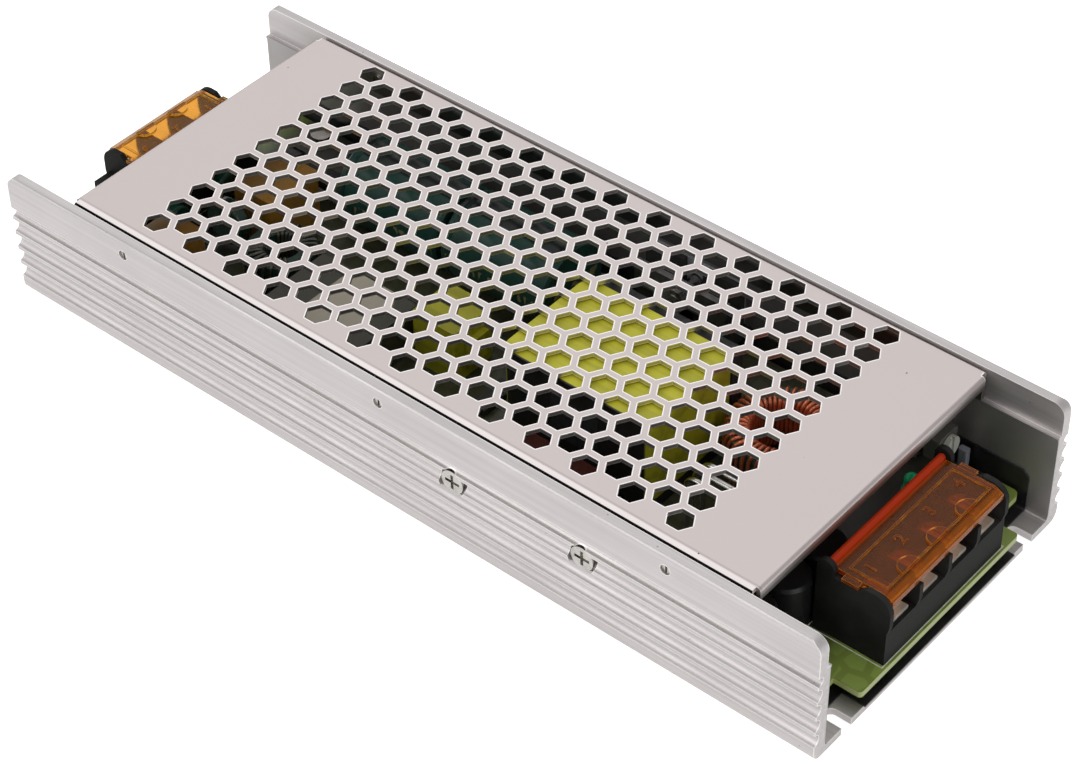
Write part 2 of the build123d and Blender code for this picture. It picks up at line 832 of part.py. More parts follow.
def terminal_lid(poles):
    """Translucent cover: hinge rod with end pins, plate, sloped front with a skirt, rim and domes."""
    half = (poles * pole_pitch - barrier_wall) / 2 - lid_side_gap
    front = block_front - lid_front_setback
    top = rod_z - lid_top_below_rod
    under = top - lid_thickness
    skirt = top - lid_skirt_drop
    slope_x = front - lid_slope_length
    section = Polyline(
        (rod_x, top),
        (slope_x, top),
        (front, top - lid_slope_drop),
        (front, skirt),
        (front - lid_thickness, skirt),
        (front - lid_thickness, under - lid_slope_drop / 2),
        (slope_x, under),
        (rod_x, under),
        close=True,
    )
    lid = along_y(make_face(section), 0, 2 * half)
    lid += rod_along_y(rod_x, -half, half, rod_z, rod_radius)
    pin = half + rod_pin_length
    lid += rod_along_y(rod_x, -pin, pin, rod_z, rod_pin_radius)
    rim_x0 = rod_x + lid_rim_back
    rim_x1 = front - lid_rim_front
    rim_length = rim_x1 - rim_x0
    rim_width = 2 * (half - lid_rim_end)
    rim = Rectangle(rim_length, rim_width)
    rim -= Rectangle(rim_length - 2 * lid_rim_width, rim_width - 2 * lid_rim_width)
    lid += extrude(Pos((rim_x0 + rim_x1) / 2, 0, top) * rim, lid_rim_height)
    for i in range(1, poles):
        y = (i - poles / 2) * pole_pitch
        r = lid_dome_radius
        disc = upright(rim_x1, y, top, top + lid_dome_height, r)
        lid += disc & cuboid(rim_x1 - 2 * r, rim_x1, y - r, y + r, top, top + lid_dome_height)
    x0 = rod_x + lid_tab_start
    x1 = x0 + lid_tab_length
    z0 = board_top + barrier_saddle_rise + lid_tab_gap
    tab_end = half + lid_side_gap + barrier_wall
    for side_sign in (-1, 1):
        ends = sorted((side_sign * (half - lid_thickness), side_sign * tab_end))
        lid += cuboid(x0, x1, ends[0], ends[1], z0, z0 + lid_tab_thickness)
    return lid


def contact_plates(poles):
    """Tinned contact strips on the floor of each wire compartment."""
    plates = []
    x0 = block_back + block_back_wall + contact_gap
    x1 = block_front - contact_inset
    half = contact_width / 2
    top = floor_top + contact_thickness
    bore = terminal_screw_radius + screw_fit
    for y in pole_centres(poles):
        plate = cuboid(x0, x1, y - half, y + half, floor_top, top)
        hole = upright(terminal_screw_x, y, floor_top - cut_margin, top + cut_margin, bore)
        plates.append(plate - hole)
    return plates


def clamp_washers(poles):
    """Square washers that press the wire on the contact strip."""
    washers = []
    bottom = floor_top + contact_thickness
    top = bottom + washer_thickness
    for y in pole_centres(poles):
        washer = block_at(terminal_screw_x, y, washer_length, washer_width, bottom, top)
        hole = upright(terminal_screw_x, y, floor_top, top + cut_margin, terminal_screw_radius + screw_fit)
        washers.append(washer - hole)
    return washers


def terminal_screws(poles):
    """Pan head terminal screws with a straight slot."""
    screws = []
    x = terminal_screw_x
    seat = floor_top + contact_thickness + washer_thickness
    face = seat + terminal_head_height
    reach = 2 * terminal_head_radius
    half_slot = terminal_slot_width / 2
    for y in pole_centres(poles):
        screw = upright(x, y, seat - terminal_screw_length, seat, terminal_screw_radius)
        screw += upright(x, y, seat, face, terminal_head_radius)
        slot_floor = face - screw_slot_depth
        slot = cuboid(x - reach, x + reach, y - half_slot, y + half_slot, slot_floor, face + cut_margin)
        screws.append(screw - slot)
    return screws


def at_output(solids):
    """Place pieces of the output block."""
    return [Pos(0, output_block_y, 0) * solid for solid in solids]


def at_input(solids):
    """Turn pieces half round and place them at the input end."""
    return [Pos(0, input_block_y, 0) * Rot(0, 0, 180) * solid for solid in solids]


def input_terminal_block():
    """Three pole block with a lower lug beside its near barrier."""
    block = terminal_block(input_poles)
    side = (input_poles * pole_pitch + barrier_wall) / 2
    x1 = block_front - input_lug_inset
    x0 = x1 - input_lug_depth
    lug = cuboid(x0, x1, side, side + input_lug_width, board_top, board_top + input_lug_rise)
    return at_input([block + lug])


def transformer_winding():
    """Taped winding block with a window for the core's middle leg."""
    x = transformer_x
    y0 = transformer_near_side
    y1 = transformer_far_side - transformer_core_plate
    z0 = board_top + transformer_bobbin_height
    z1 = transformer_top
    block = block_at(x, (y0 + y1) / 2, transformer_length, y1 - y0, z0, z1, transformer_corner)
    z = (z0 + z1) / 2
    half = transformer_leg_width / 2
    half_height = transformer_leg_height / 2
    y0 -= cut_margin
    y1 += cut_margin
    return block - cuboid(x - half, x + half, y0, y1, z - half_height, z + half_height)


def transformer_core():
    """Ferrite core: a plate across the far side and a leg through the winding."""
    x = transformer_x
    y0 = transformer_near_side
    y1 = transformer_far_side - transformer_core_plate
    z0 = board_top + transformer_bobbin_height
    z1 = transformer_top
    half = transformer_length / 2 - transformer_core_inset
    plate = cuboid(x - half, x + half, y1, transformer_far_side, z0, z1 - transformer_core_inset)
    z = (z0 + z1) / 2
    half = transformer_leg_width / 2 - transformer_leg_fit
    half_height = transformer_leg_height / 2 - transformer_leg_fit
    return plate + cuboid(x - half, x + half, y0, y1, z - half_height, z + half_height)


def transformer_bobbin():
    """Moulded base of the bobbin, with feet along both ends."""
    z1 = board_top + transformer_bobbin_height
    x0 = transformer_x - transformer_length / 2
    x1 = transformer_x + transformer_length / 2
    y0 = transformer_near_side
    y1 = transformer_far_side
    foot = transformer_foot_length
    base = cuboid(x0, x1, y0, y1, board_top + transformer_bobbin_height / 2, z1)
    base += cuboid(x0, x0 + foot, y0, y1, board_top, z1)
    base += cuboid(x1 - foot, x1, y0, y1, board_top, z1)
    return base


def standby_winding():
    """Small taped transformer, a block with a slot below for its core."""
    x = standby_x
    y = standby_y
    block = block_at(
        x, y, standby_length, standby_width, board_top, board_top + standby_rise, standby_corner
    )
    z0 = board_top + (standby_rise - standby_core_height) / 2
    half = standby_core_width / 2
    reach = standby_length
    return block - cuboid(x - reach, x + reach, y - half, y + half, z0, z0 + standby_core_height)


def standby_core():
    """Ferrite bar through the small transformer."""
    z0 = board_top + (standby_rise - standby_core_height) / 2
    length = standby_length + 2 * standby_core_overhang
    return block_at(standby_x, standby_y, length, standby_core_width, z0, z0 + standby_core_height)


def ring_core(x, y, inner, outer, height, wire):
    """Ring core lying flat, lifted by one wire and its gaps."""
    z0 = board_top + ring_base_gap + wire + ring_wire_gap
    return extrude(Pos(x, y, z0) * (Circle(outer) - Circle(inner)), height)


def ring_turns(x, y, inner, outer, height, wire, angles):
    """Turns of wire round a ring core, one closed loop of square wire at each angle."""
    z0 = board_top + ring_base_gap
    middle = (inner + outer) / 2
    span = outer - inner + 2 * ring_wire_gap
    rise = height + 2 * ring_wire_gap
    loop = Rectangle(span + 2 * wire, rise + 2 * wire) - Rectangle(span, rise)
    loop = extrude(Plane.XZ * loop, wire / 2, both=True)
    loop = Pos(middle, 0, z0 + wire + rise / 2) * loop
    return [Pos(x, y, 0) * Rot(0, 0, angle) * loop for angle in angles]


def inductor_winding():
    """Evenly spaced turns all round the output inductor."""
    angles = [i * 360 / inductor_turns for i in range(inductor_turns)]
    return ring_turns(
        inductor_x,
        inductor_y,
        inductor_inner_radius,
        inductor_outer_radius,
        inductor_core_height,
        inductor_wire,
        angles,
    )


def choke_windings():
    """Two groups of turns on opposite sides of the line filter choke."""
    spread = [(i - (choke_turns_per_side - 1) / 2) * choke_turn_angle for i in range(choke_turns_per_side)]
    angles = [90 + a for a in spread] + [270 + a for a in spread]
    return ring_turns(
        choke_x, choke_y, choke_inner_radius, choke_outer_radius, choke_core_height, choke_wire, angles
    )


def can(radius, length):
    """Capacitor can on the Z axis: rounded edges and a crimp groove near the bottom."""
    groove = crimp_start + crimp_width / 2
    inner = radius - crimp_depth
    profile = Polyline(
        (0, 0),
        (radius - can_edge, 0),
        (radius, can_edge),
        (radius, crimp_start),
        (inner, groove),
        (radius, crimp_start + crimp_width),
        (radius, length - can_edge),
        (radius - can_edge, length),
        (0, length),
        close=True,
    )
    return revolve(Plane.XZ * make_face(profile), Axis.Z)


def bulk_capacitors():
    """Two large cans lying end to end along the board."""
    z = board_top + bulk_board_gap + bulk_radius
    lying = Rot(0, 90, 0) * can(bulk_radius, bulk_length)
    return [Pos(bulk_start_x + i * (bulk_length + bulk_gap), bulk_y, z) * lying for i in range(2)]


def output_capacitors():
    """Upright cans in two columns beside the output block."""
    cans = []
    last_x = block_back - output_capacitor_block_gap - output_capacitor_radius
    first_y = output_capacitor_wall_gap + output_capacitor_radius - inner_face
    for i in range(output_capacitor_columns):
        for j in range(output_capacitor_rows):
            x = last_x - i * output_capacitor_step_x
            y = first_y + j * output_capacitor_pitch
            cans.append(Pos(x, y, board_top) * can(output_capacitor_radius, output_capacitor_height))
    return cans


def line_filter_capacitors():
    """Two moulded box capacitors on the mains side."""
    boxes = []
    top = board_top + line_capacitor_height
    wall_y = line_capacitor_wall_gap + line_capacitor_width[1] / 2 - inner_face
    for i, y in enumerate((line_capacitor_middle_y, wall_y)):
        length = line_capacitor_length[i]
        width = line_capacitor_width[i]
        boxes.append(block_at(line_capacitor_x[i], y, length, width, board_top, top, line_capacitor_corner))
    return boxes


def film_capacitors():
    """Dipped film capacitors beside the transformer."""
    capacitor = block_at(
        0,
        film_capacitor_y,
        film_capacitor_length,
        film_capacitor_width,
        board_top,
        board_top + film_capacitor_height,
        film_capacitor_corner,
    )
    return [Pos(x, 0, 0) * capacitor for x in film_capacitor_x]


def disc_part(x, y, radius, thickness, across_x):
    """Round dipped disc standing on two leads, its face along X or along Y."""
    z = board_top + disc_lead_length + radius
    disc = extrude(Plane.XZ * Circle(radius), thickness / 2, both=True)
    disc = fillet(disc.edges().filter_by(GeomType.CIRCLE), thickness / 4)
    for i in (-1, 1):
        disc += block_at(i * radius / 2, 0, lead_thickness, lead_thickness, board_top - z, -radius / 2)
    turn = 90 if across_x else 0
    return Pos(x, y, z) * Rot(0, 0, turn) * disc


def fuse():
    """Tube fuse with metal end caps, lying in its clips."""
    z = board_top + fuse_rise
    x0 = fuse_x - fuse_length / 2
    x1 = fuse_x + fuse_length / 2
    body = rod_along_x(x0, x1, fuse_y, z, fuse_radius - fuse_cap_step)
    body += rod_along_x(x0, x0 + fuse_clip_length, fuse_y, z, fuse_radius)
    return body + rod_along_x(x1 - fuse_clip_length, x1, fuse_y, z, fuse_radius)


def fuse_clips():
    """Spring clips that hold the fuse's caps, open at the top."""
    outer = fuse_clip_radius
    inner = outer - fuse_clip_wall
    ring = Circle(outer) - Circle(inner) - Pos(0, outer) * Rectangle(fuse_clip_opening, 2 * outer)
    foot_height = fuse_rise - inner
    ring += Pos(0, -inner - foot_height / 2) * Rectangle(2 * inner, foot_height) - Circle(inner)
    clip = extrude(Plane.YZ * ring, fuse_clip_length / 2 - fuse_clip_wall, both=True)
    reach = (fuse_length - fuse_clip_length) / 2
    return [Pos(fuse_x + i * reach, fuse_y, board_top + fuse_rise) * clip for i in (-1, 1)]


def bridge_rectifier():
    """Flat four lead bridge, standing, with one cut corner."""
    z0 = board_top + bridge_lead_length
    face = Pos(bridge_x, z0 + bridge_height / 2) * Rectangle(bridge_length, bridge_height)
    corner = face.vertices().group_by(Axis.Y)[-1].sort_by(Axis.X)[0]
    body = along_y(chamfer(corner, bridge_corner), bridge_y, bridge_thickness)
    for i in range(bridge_leads):
        x = bridge_x + (i - (bridge_leads - 1) / 2) * bridge_lead_pitch
        body += block_at(x, bridge_y, lead_width, lead_thickness, board_top, z0)
    return body


def wire_links():
    """Tinned wire links that stand over the board beside the inductor."""
    x0 = link_x - link_span / 2
    x1 = link_x + link_span / 2
    z0 = board_top
    z1 = board_top + link_rise
    path = FilletPolyline((x0, 0, z0), (x0, 0, z1), (x1, 0, z1), (x1, 0, z0), radius=link_bend_radius)
    link = sweep(Pos(x0, 0, z0) * Circle(link_wire_radius), path)
    first_y = link_y - (link_count - 1) / 2 * link_pitch
    return [Pos(0, first_y + i * link_pitch, 0) * link for i in range(link_count)]


def trimmer_body():
    """Upright trimmer case with a bore for the rotor, on two legs."""
    z = trimmer_z
    middle = trimmer_x - trimmer_depth / 2
    face = RectangleRounded(trimmer_side, trimmer_side, trimmer_corner)
    body = Pos(middle, trimmer_y, z) * extrude(Plane.YZ * face, trimmer_depth / 2, both=True)
    bore_end = trimmer_x - rotor_stub_length - rotor_fit
    body -= rod_along_x(bore_end, trimmer_x + cut_margin, trimmer_y, z, rotor_stub_radius + rotor_fit)
    for i in (-1, 1):
        y = trimmer_y + i * lead_pitch
        body += block_at(middle, y, lead_width, lead_width, board_top, z - trimmer_side / 2)
    return body


def trimmer_rotor():
    """Slotted rotor that turns in the trimmer's bore."""
    y = trimmer_y
    z = trimmer_z
    back = trimmer_x + rotor_face_gap
    face = back + rotor_thickness
    rotor = rod_along_x(back, face, y, z, rotor_radius)
    rotor += rod_along_x(trimmer_x - rotor_stub_length, back, y, z, rotor_stub_radius)
    half_slot = rotor_slot_width / 2
    reach = 2 * rotor_radius
    x0 = face - rotor_slot_depth
    x1 = face + cut_margin
    return rotor - cuboid(x0, x1, y - half_slot, y + half_slot, z - reach, z + reach)


def indicator_led():
    """Round led with a domed top, a flange and two leads."""
    z0 = board_top + led_lead_length
    z1 = z0 + led_body_height - led_radius
    led = upright(led_x, led_y, z0, z0 + led_flange_height, led_flange_radius)
    led += upright(led_x, led_y, z0, z1, led_radius)
    led += Pos(led_x, led_y, z1) * Sphere(led_radius)
    for i in (-1, 1):
        led += block_at(led_x, led_y + i * lead_width, lead_thickness, lead_thickness, board_top, z0)
    return led


def sense_capacitor():
    """Small grey capacitor between the trimmer and the wall."""
    z0 = board_top + sense_capacitor_lead
    z1 = z0 + sense_capacitor_height
    x = sense_capacitor_x
    y = sense_capacitor_y
    body = block_at(x, y, sense_capacitor_length, sense_capacitor_width, z0, z1, sense_capacitor_corner)
    return body + block_at(x, y, lead_width, lead_thickness, board_top, z0)


def small_blocks(places, length, width, height):
    """Moulded packages of one size on the board."""
    return [block_at(x, y, length, width, board_top, board_top + height) for x, y in places]


nodes = {
    "channel_housing": channel_housing(),
    "perforated_cover": perforated_cover(),
    "cover_screws": cover_screws(),
    "clamp_screws": clamp_screws(),
    "clamp_nuts": clamp_nuts(),
    "clamp_bars": clamp_bars(),
    "thermal_pads": thermal_pads(),
    "output_rectifiers": power_devices(-1),
    "power_transistors": power_devices(1),
    "insulating_sheet": insulating_sheet(),
    "circuit_board": circuit_board(),
    "board_standoffs": board_standoffs(),
    "board_screws": board_screws(),
    "output_terminal_block": at_output([terminal_block(output_poles)]),
    "output_terminal_cover": at_output([terminal_lid(output_poles)]),
    "output_contact_plates": at_output(contact_plates(output_poles)),
    "output_clamp_washers": at_output(clamp_washers(output_poles)),
    "output_terminal_screws": at_output(terminal_screws(output_poles)),
    "input_terminal_block": input_terminal_block(),
    "input_terminal_cover": at_input([terminal_lid(input_poles)]),
    "input_contact_plates": at_input(contact_plates(input_poles)),
    "input_clamp_washers": at_input(clamp_washers(input_poles)),
    "input_terminal_screws": at_input(terminal_screws(input_poles)),
    "transformer_winding": transformer_winding(),
    "transformer_core": transformer_core(),
    "transformer_bobbin": transformer_bobbin(),
    "standby_winding": standby_winding(),
    "standby_core": standby_core(),
    "inductor_core": ring_core(
        inductor_x,
        inductor_y,
        inductor_inner_radius,
        inductor_outer_radius,
        inductor_core_height,
        inductor_wire,
    ),
    "inductor_winding": inductor_winding(),
    "choke_core": ring_core(
        choke_x, choke_y, choke_inner_radius, choke_outer_radius, choke_core_height, choke_wire
    ),
    "choke_windings": choke_windings(),
    "line_filter_capacitors": line_filter_capacitors(),
    "bulk_capacitors": bulk_capacitors(),
    "output_capacitors": output_capacitors(),
    "film_capacitors": film_capacitors(),
    "earth_capacitors": [
        disc_part(earth_capacitor_x, y, earth_capacitor_radius, earth_capacitor_thickness, True)
        for y in earth_capacitor_y
    ],
    "inrush_thermistor": disc_part(
        thermistor_x, thermistor_y, thermistor_radius, thermistor_thickness, False
    ),
    "varistor": disc_part(varistor_x, varistor_y, varistor_radius, varistor_thickness, True),
    "fuse": fuse(),
    "fuse_clips": fuse_clips(),
    "inrush_relay": block_at(
        relay_x, relay_y, relay_length, relay_width, board_top, board_top + relay_height, relay_corner
    ),
    "bridge_rectifier": bridge_rectifier(),
    "optocouplers": small_blocks(
        [(x, optocoupler_y) for x in optocoupler_x],
        optocoupler_length,
        optocoupler_width,
        optocoupler_height,
    ),
    "control_chips": small_blocks([(chip_x, y) for y in chip_y], chip_length, chip_width, chip_height),
    "wire_links": wire_links(),
    "trimmer_body": trimmer_body(),
    "trimmer_rotor": trimmer_rotor(),
    "indicator_led": indicator_led(),
    "sense_capacitor": sense_capacitor(),
}

os.makedirs("parts", exist_ok=True)
for name, shape in nodes.items():
    solids = shape if isinstance(shape, list) else [shape]
    if len(solids) == 1:
        export_step(solids[0], f"parts/{name}.step")
    else:
        export_step(Compound(children=solids), f"parts/{name}.step")
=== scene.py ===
import json
import math

import bpy
import numpy as np
from bpy.props import FloatProperty, FloatVectorProperty, IntProperty, PointerProperty
from bpy.types import Operator, Panel, PropertyGroup
from mathutils import Matrix, Vector


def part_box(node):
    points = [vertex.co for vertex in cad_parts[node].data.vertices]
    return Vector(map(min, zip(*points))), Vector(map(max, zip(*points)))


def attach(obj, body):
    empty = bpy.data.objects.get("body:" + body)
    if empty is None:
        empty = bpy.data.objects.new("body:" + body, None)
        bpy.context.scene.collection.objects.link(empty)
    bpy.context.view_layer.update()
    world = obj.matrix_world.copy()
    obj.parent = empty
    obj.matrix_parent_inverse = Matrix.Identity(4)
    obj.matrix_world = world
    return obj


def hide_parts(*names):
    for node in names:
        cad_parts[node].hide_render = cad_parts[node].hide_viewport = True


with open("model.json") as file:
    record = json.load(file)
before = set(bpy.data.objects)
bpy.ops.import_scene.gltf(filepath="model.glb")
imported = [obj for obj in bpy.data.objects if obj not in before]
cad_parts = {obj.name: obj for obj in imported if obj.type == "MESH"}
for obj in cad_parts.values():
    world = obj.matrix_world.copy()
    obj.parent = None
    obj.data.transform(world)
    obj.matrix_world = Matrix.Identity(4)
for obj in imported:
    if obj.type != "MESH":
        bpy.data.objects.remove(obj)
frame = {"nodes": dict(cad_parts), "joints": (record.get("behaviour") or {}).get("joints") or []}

bl_info = {
    "name": "Led power supply",
    "version": (1, 0, 0),
    "blender": (4, 5, 0),
    "location": "View3D > Sidebar > Supply",
    "description": "Finishes, windings, printing and studio for a slim enclosed power supply",
    "category": "Object",
}

# Bodies that the new pieces ride on
SUPPLY = "supply"
OUTPUT_LID = "output_lid"
INPUT_LID = "input_lid"

# Inner over outer radius of the two ring cores, whose boxes give only the outer one
INDUCTOR_HOLE = 7.0 / 11.2
CHOKE_HOLE = 4.2 / 7.6

# Samples of the rounded normals that find the edges of a mesh
EDGE_SAMPLES = 8

# Colour sockets of a Mix node: both inputs and the output
MIX_FIRST = 6
MIX_SECOND = 7
MIX_RESULT = 2

# Depth of fine grain and die lines, in metres
FINE_RELIEF = 0.00003

# Type size of a numeral over the height of its figure
TYPE_SIZE = 1.4

# Lamps: name, place, side and power
LAMP_TARGET = (0.0, 0.0, 0.01)
LAMPS = (
    ("back", (-0.56, 0.66, 0.82), 1.3, 3.35),
    ("overhead", (0.1, -0.1, 1.1), 0.8, 1.5),
    ("front", (-0.45, -0.95, 0.70), 1.0, 5.4),
    ("right", (1.0, -0.2, 0.6), 0.6, 1.8),
)
WHITE = (1.0, 1.0, 1.0)


def colour(label, note, value):
    """A colour that the user can change."""
    return FloatVectorProperty(
        name=label, description=note, subtype="COLOR", size=3, min=0.0, max=1.0, default=value
    )


def length(label, note, value):
    """A length in metres that the user can change."""
    return FloatProperty(name=label, description=note, unit="LENGTH", min=0.0, precision=5, default=value)


class SupplyColours(PropertyGroup):
    """Colours of the main finishes."""

    aluminium: colour("Aluminium", "Bare extrusion of the channel", (0.60, 0.57, 0.565))
    sheet: colour("Cover sheet", "Plated sheet of the cover", (0.62, 0.555, 0.545))
    amber: colour("Amber", "Translucent cover over the output terminals", (0.70, 0.21, 0.022))
    # This and the yellow one below: painted glow on the edges and relief of the terminal covers
    amber_glow: colour("Amber light", "Edges and relief of the output cover", (1.0, 0.40, 0.05))
    yellow: colour("Yellow amber", "Translucent cover over the input terminals", (0.86, 0.38, 0.04))
    yellow_glow: colour("Yellow light", "Edges and relief of the input cover", (1.0, 0.62, 0.12))
    board: colour("Board", "Solder mask at the ends of the circuit board", (0.25, 0.34, 0.07))
    # Painted shade: the darker colour given to the board under the cover
    board_shaded_inside: colour("Board inside", "Solder mask under the perforated cover", (0.075, 0.080, 0.045))
    board_edge: colour("Board edge", "Bare laminate at the board's edge", (0.46, 0.52, 0.20))
    tape: colour("Tape", "Polyester tape round the transformers", (0.53, 0.51, 0.030))
    copper: colour("Copper", "Enamelled wire of the output inductor", (0.85, 0.23, 0.10))
    sleeve: colour("Sleeve", "Sleeve of the large capacitors", (0.016, 0.056, 0.044))
    box: colour("Box capacitor", "Moulded line filter capacitors", (0.42, 0.21, 0.03))


class SupplySizes(PropertyGroup):
    """Sizes of the pieces that are made here."""

    strand: length("Strand", "Radius of a strand of the output inductor's wire", 0.00043)
    strands: IntProperty(
        name="Strands", description="Strands side by side in each turn", min=1, max=4, default=2
    )
    turns: IntProperty(name="Turns", description="Turns of the output inductor", min=4, max=60, default=22)
    wound_share: FloatProperty(
        name="Wound share", description="Share of the inductor's ring that its turns fill", min=0.1, max=1.0,
        default=0.97,
    )
    choke_wire: length("Choke wire", "Radius of the choke's wire", 0.0004)
    choke_turns: IntProperty(
        name="Choke turns", description="Turns in each choke winding", min=2, max=30, default=10
    )
    choke_sweep: FloatProperty(
        name="Choke sweep", description="Angle round the ring of each choke winding", subtype="ANGLE",
        default=math.radians(124),
    )
    numeral: length("Numeral", "Height of the numerals on the terminal covers", 0.0026)
    numeral_relief: length("Numeral relief", "How far the numerals stand out", 0.00018)
    pole_pitch: length("Pole pitch", "From one terminal to the next", 0.0096)
    numeral_row: length("Numeral row", "From a terminal cover's hinge to its numerals", 0.0065)
    lid_plate: length("Lid plate", "From a terminal cover's hinge to its sloped front", 0.0124)
    lid_drop: length("Lid drop", "From a terminal cover's hinge down to its flat top", 0.0002)
    relay_band: length("Relay band", "Width of the pale band across the relay", 0.0134)
    relay_band_inset: length("Relay band inset", "From the relay's output side to the band's middle", 0.0113)
    print_width: length("Print width", "Width of the printed lines on the board", 0.00022)
    print_height: length("Print height", "Thickness of the printed lines", 0.00003)
    print_margin: length("Print margin", "From a terminal block to the line printed round it", 0.0006)
    # Reaches of the painted shadow, highlight and shade line on the cover's near bend, and the drop to its
    # painted flange shade
    seam: length("Seam", "Dark foot of the cover's near bend, in from its side", 0.0006)
    bend: length("Bend", "Inner end of the bright near bend, in from the cover's side", 0.0017)
    crease: length("Crease", "Inner end of the dull line beside the bend, in from the cover's side", 0.0022)
    flange_drop: length("Flange drop", "From the cover's top down to its dull flanges and lips", 0.0012)
    # Where the board's painted shade begins and where it deepens
    open_board: length("Open board", "Bright green length at each end of the board", 0.0075)
    open_blend: length("Open blend", "Length over which the green turns dark", 0.0080)
    shaded_board: length("Shaded board", "From each end of the board to the cover's first holes", 0.0300)


class SupplyStudio(PropertyGroup):
    """Camera and light."""

    lens: FloatProperty(name="Lens", description="Focal length for a 36 mm frame", min=10, default=95.87)
    place: FloatVectorProperty(
        name="Camera place", description="Where the camera stands", subtype="XYZ", unit="LENGTH", precision=5,
        default=(0.29148, -0.33140, 0.40756),
    )
    forward: FloatVectorProperty(
        name="Forward", description="Direction of view", subtype="XYZ", precision=6,
        default=(-0.48108527, 0.55953497, -0.67489079),
    )
    right: FloatVectorProperty(
        name="Right", description="Direction of the picture's right edge", subtype="XYZ", precision=6,
        default=(0.76639275, 0.64222274, -0.01386029),
    )
    floor_size: length("Floor", "Half the side of the floor", 3.0)
    floor_drop: length("Floor drop", "From the part's base down to the floor", 0.0002)
    ambient: FloatProperty(name="Ambient", description="Strength of the room's light", min=0.0, default=0.45)


# Mesh helpers


def grid_faces(rows, columns):
    """Quads of a grid of rows by columns, whose last column joins its first."""
    i, j = np.meshgrid(np.arange(rows - 1), np.arange(columns), indexing="ij")
    ni = i + 1
    nj = (j + 1) % columns
    quads = np.stack([i * columns + j, i * columns + nj, ni * columns + nj, ni * columns + j], axis=-1)
    return quads.reshape(-1, 4)


def surface(name, points, faces):
    """Mesh of an array of points and a list of faces."""
    mesh = bpy.data.meshes.new(name)
    mesh.from_pydata(points.tolist(), [], faces)
    return mesh


def add_piece(mesh, material, body, smooth=True):
    """Make a mesh an object of the same name, at the origin, that rides on a body."""
    mesh.polygons.foreach_set("use_smooth", np.full(len(mesh.polygons), smooth))
    mesh.materials.append(material)
    mesh.update()
    piece = bpy.data.objects.new(mesh.name, mesh)
    bpy.context.scene.collection.objects.link(piece)
    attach(piece, body)
    return piece


def join_shapes(shapes):
    """Points and a list of faces of several (points, faces) pairs, with the face numbers moved up."""
    points = []
    faces = []
    total = 0
    for shape_points, shape_faces in shapes:
        points.append(shape_points)
        faces.append(shape_faces + total)
        total += len(shape_points)
    return np.concatenate(points), np.concatenate(faces).tolist()


def wire_tube(path, outward, radius, sides):
    """Round tube along a path, closed at both ends.

    Point (i, j) is path i plus radius times (normal cos a + binormal sin a), with a = 2 pi j / sides.
    The tangent is the path's central difference, the normal is the outward direction with its
    tangent part taken off, and the binormal is their cross product.
    The faces look away from the path. A cap of quads across the ring closes each end.
    """
    tangent = np.gradient(path, axis=0)
    tangent /= np.linalg.norm(tangent, axis=1, keepdims=True)
    normal = outward - (outward * tangent).sum(axis=1, keepdims=True) * tangent
    normal /= np.linalg.norm(normal, axis=1, keepdims=True)
    binormal = np.cross(tangent, normal)
    a = 2 * np.pi * np.arange(sides) / sides
    ring = normal[:, None] * np.cos(a)[None, :, None] + binormal[:, None] * np.sin(a)[None, :, None]
    points = path[:, None] + radius * ring
    j = np.arange(sides // 2 - 1)
    cap = np.stack([j, j + 1, sides - 2 - j, sides - 1 - j], axis=-1)
    last_ring = (len(path) - 1) * sides
    faces = np.concatenate([grid_faces(len(path), sides), cap[:, ::-1], cap + last_ring])
    return points.reshape(-1, 3), faces


def ring_wire(core, hole, radius, turns, start, sweep, steps=36, sides=8, squareness=5):
    """One strand wound round a ring core, whose inner radius is its outer one times hole.

    Round the ring the angle runs from start over sweep. Round the section the angle is 2 pi times the turn
    number. With n for squareness, the section is the rounded rectangle |x/a|^n + |z/b|^n = 1, drawn as
    a sign(cos) |cos|^(2/n) and b sign(sin) |sin|^(2/n), one wire radius outside the core.
    """
    low, high = (np.array(corner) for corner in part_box(core))
    middle = (low + high) / 2
    half = (high - low) / 2
    outer = half[0]
    inner = outer * hole
    count = int(turns * steps)
    t = np.arange(count + 1) / count
    ring = start + sweep * t
    turn = 2 * np.pi * turns * t
    a = (outer - inner) / 2 + radius
    b = half[2] + radius
    c = np.cos(turn)
    s = np.sin(turn)
    power = 2 / squareness
    x = a * np.sign(c) * np.abs(c) ** power
    z = b * np.sign(s) * np.abs(s) ** power
    reach = (outer + inner) / 2 + x
    along = np.stack([np.cos(ring), np.sin(ring), np.zeros_like(ring)], axis=1)
    path = middle + along * reach[:, None] + np.array([0, 0, 1]) * z[:, None]
    outward = along * c[:, None] + np.array([0, 0, 1]) * s[:, None]
    return wire_tube(path, outward, radius, sides)


# Material helpers


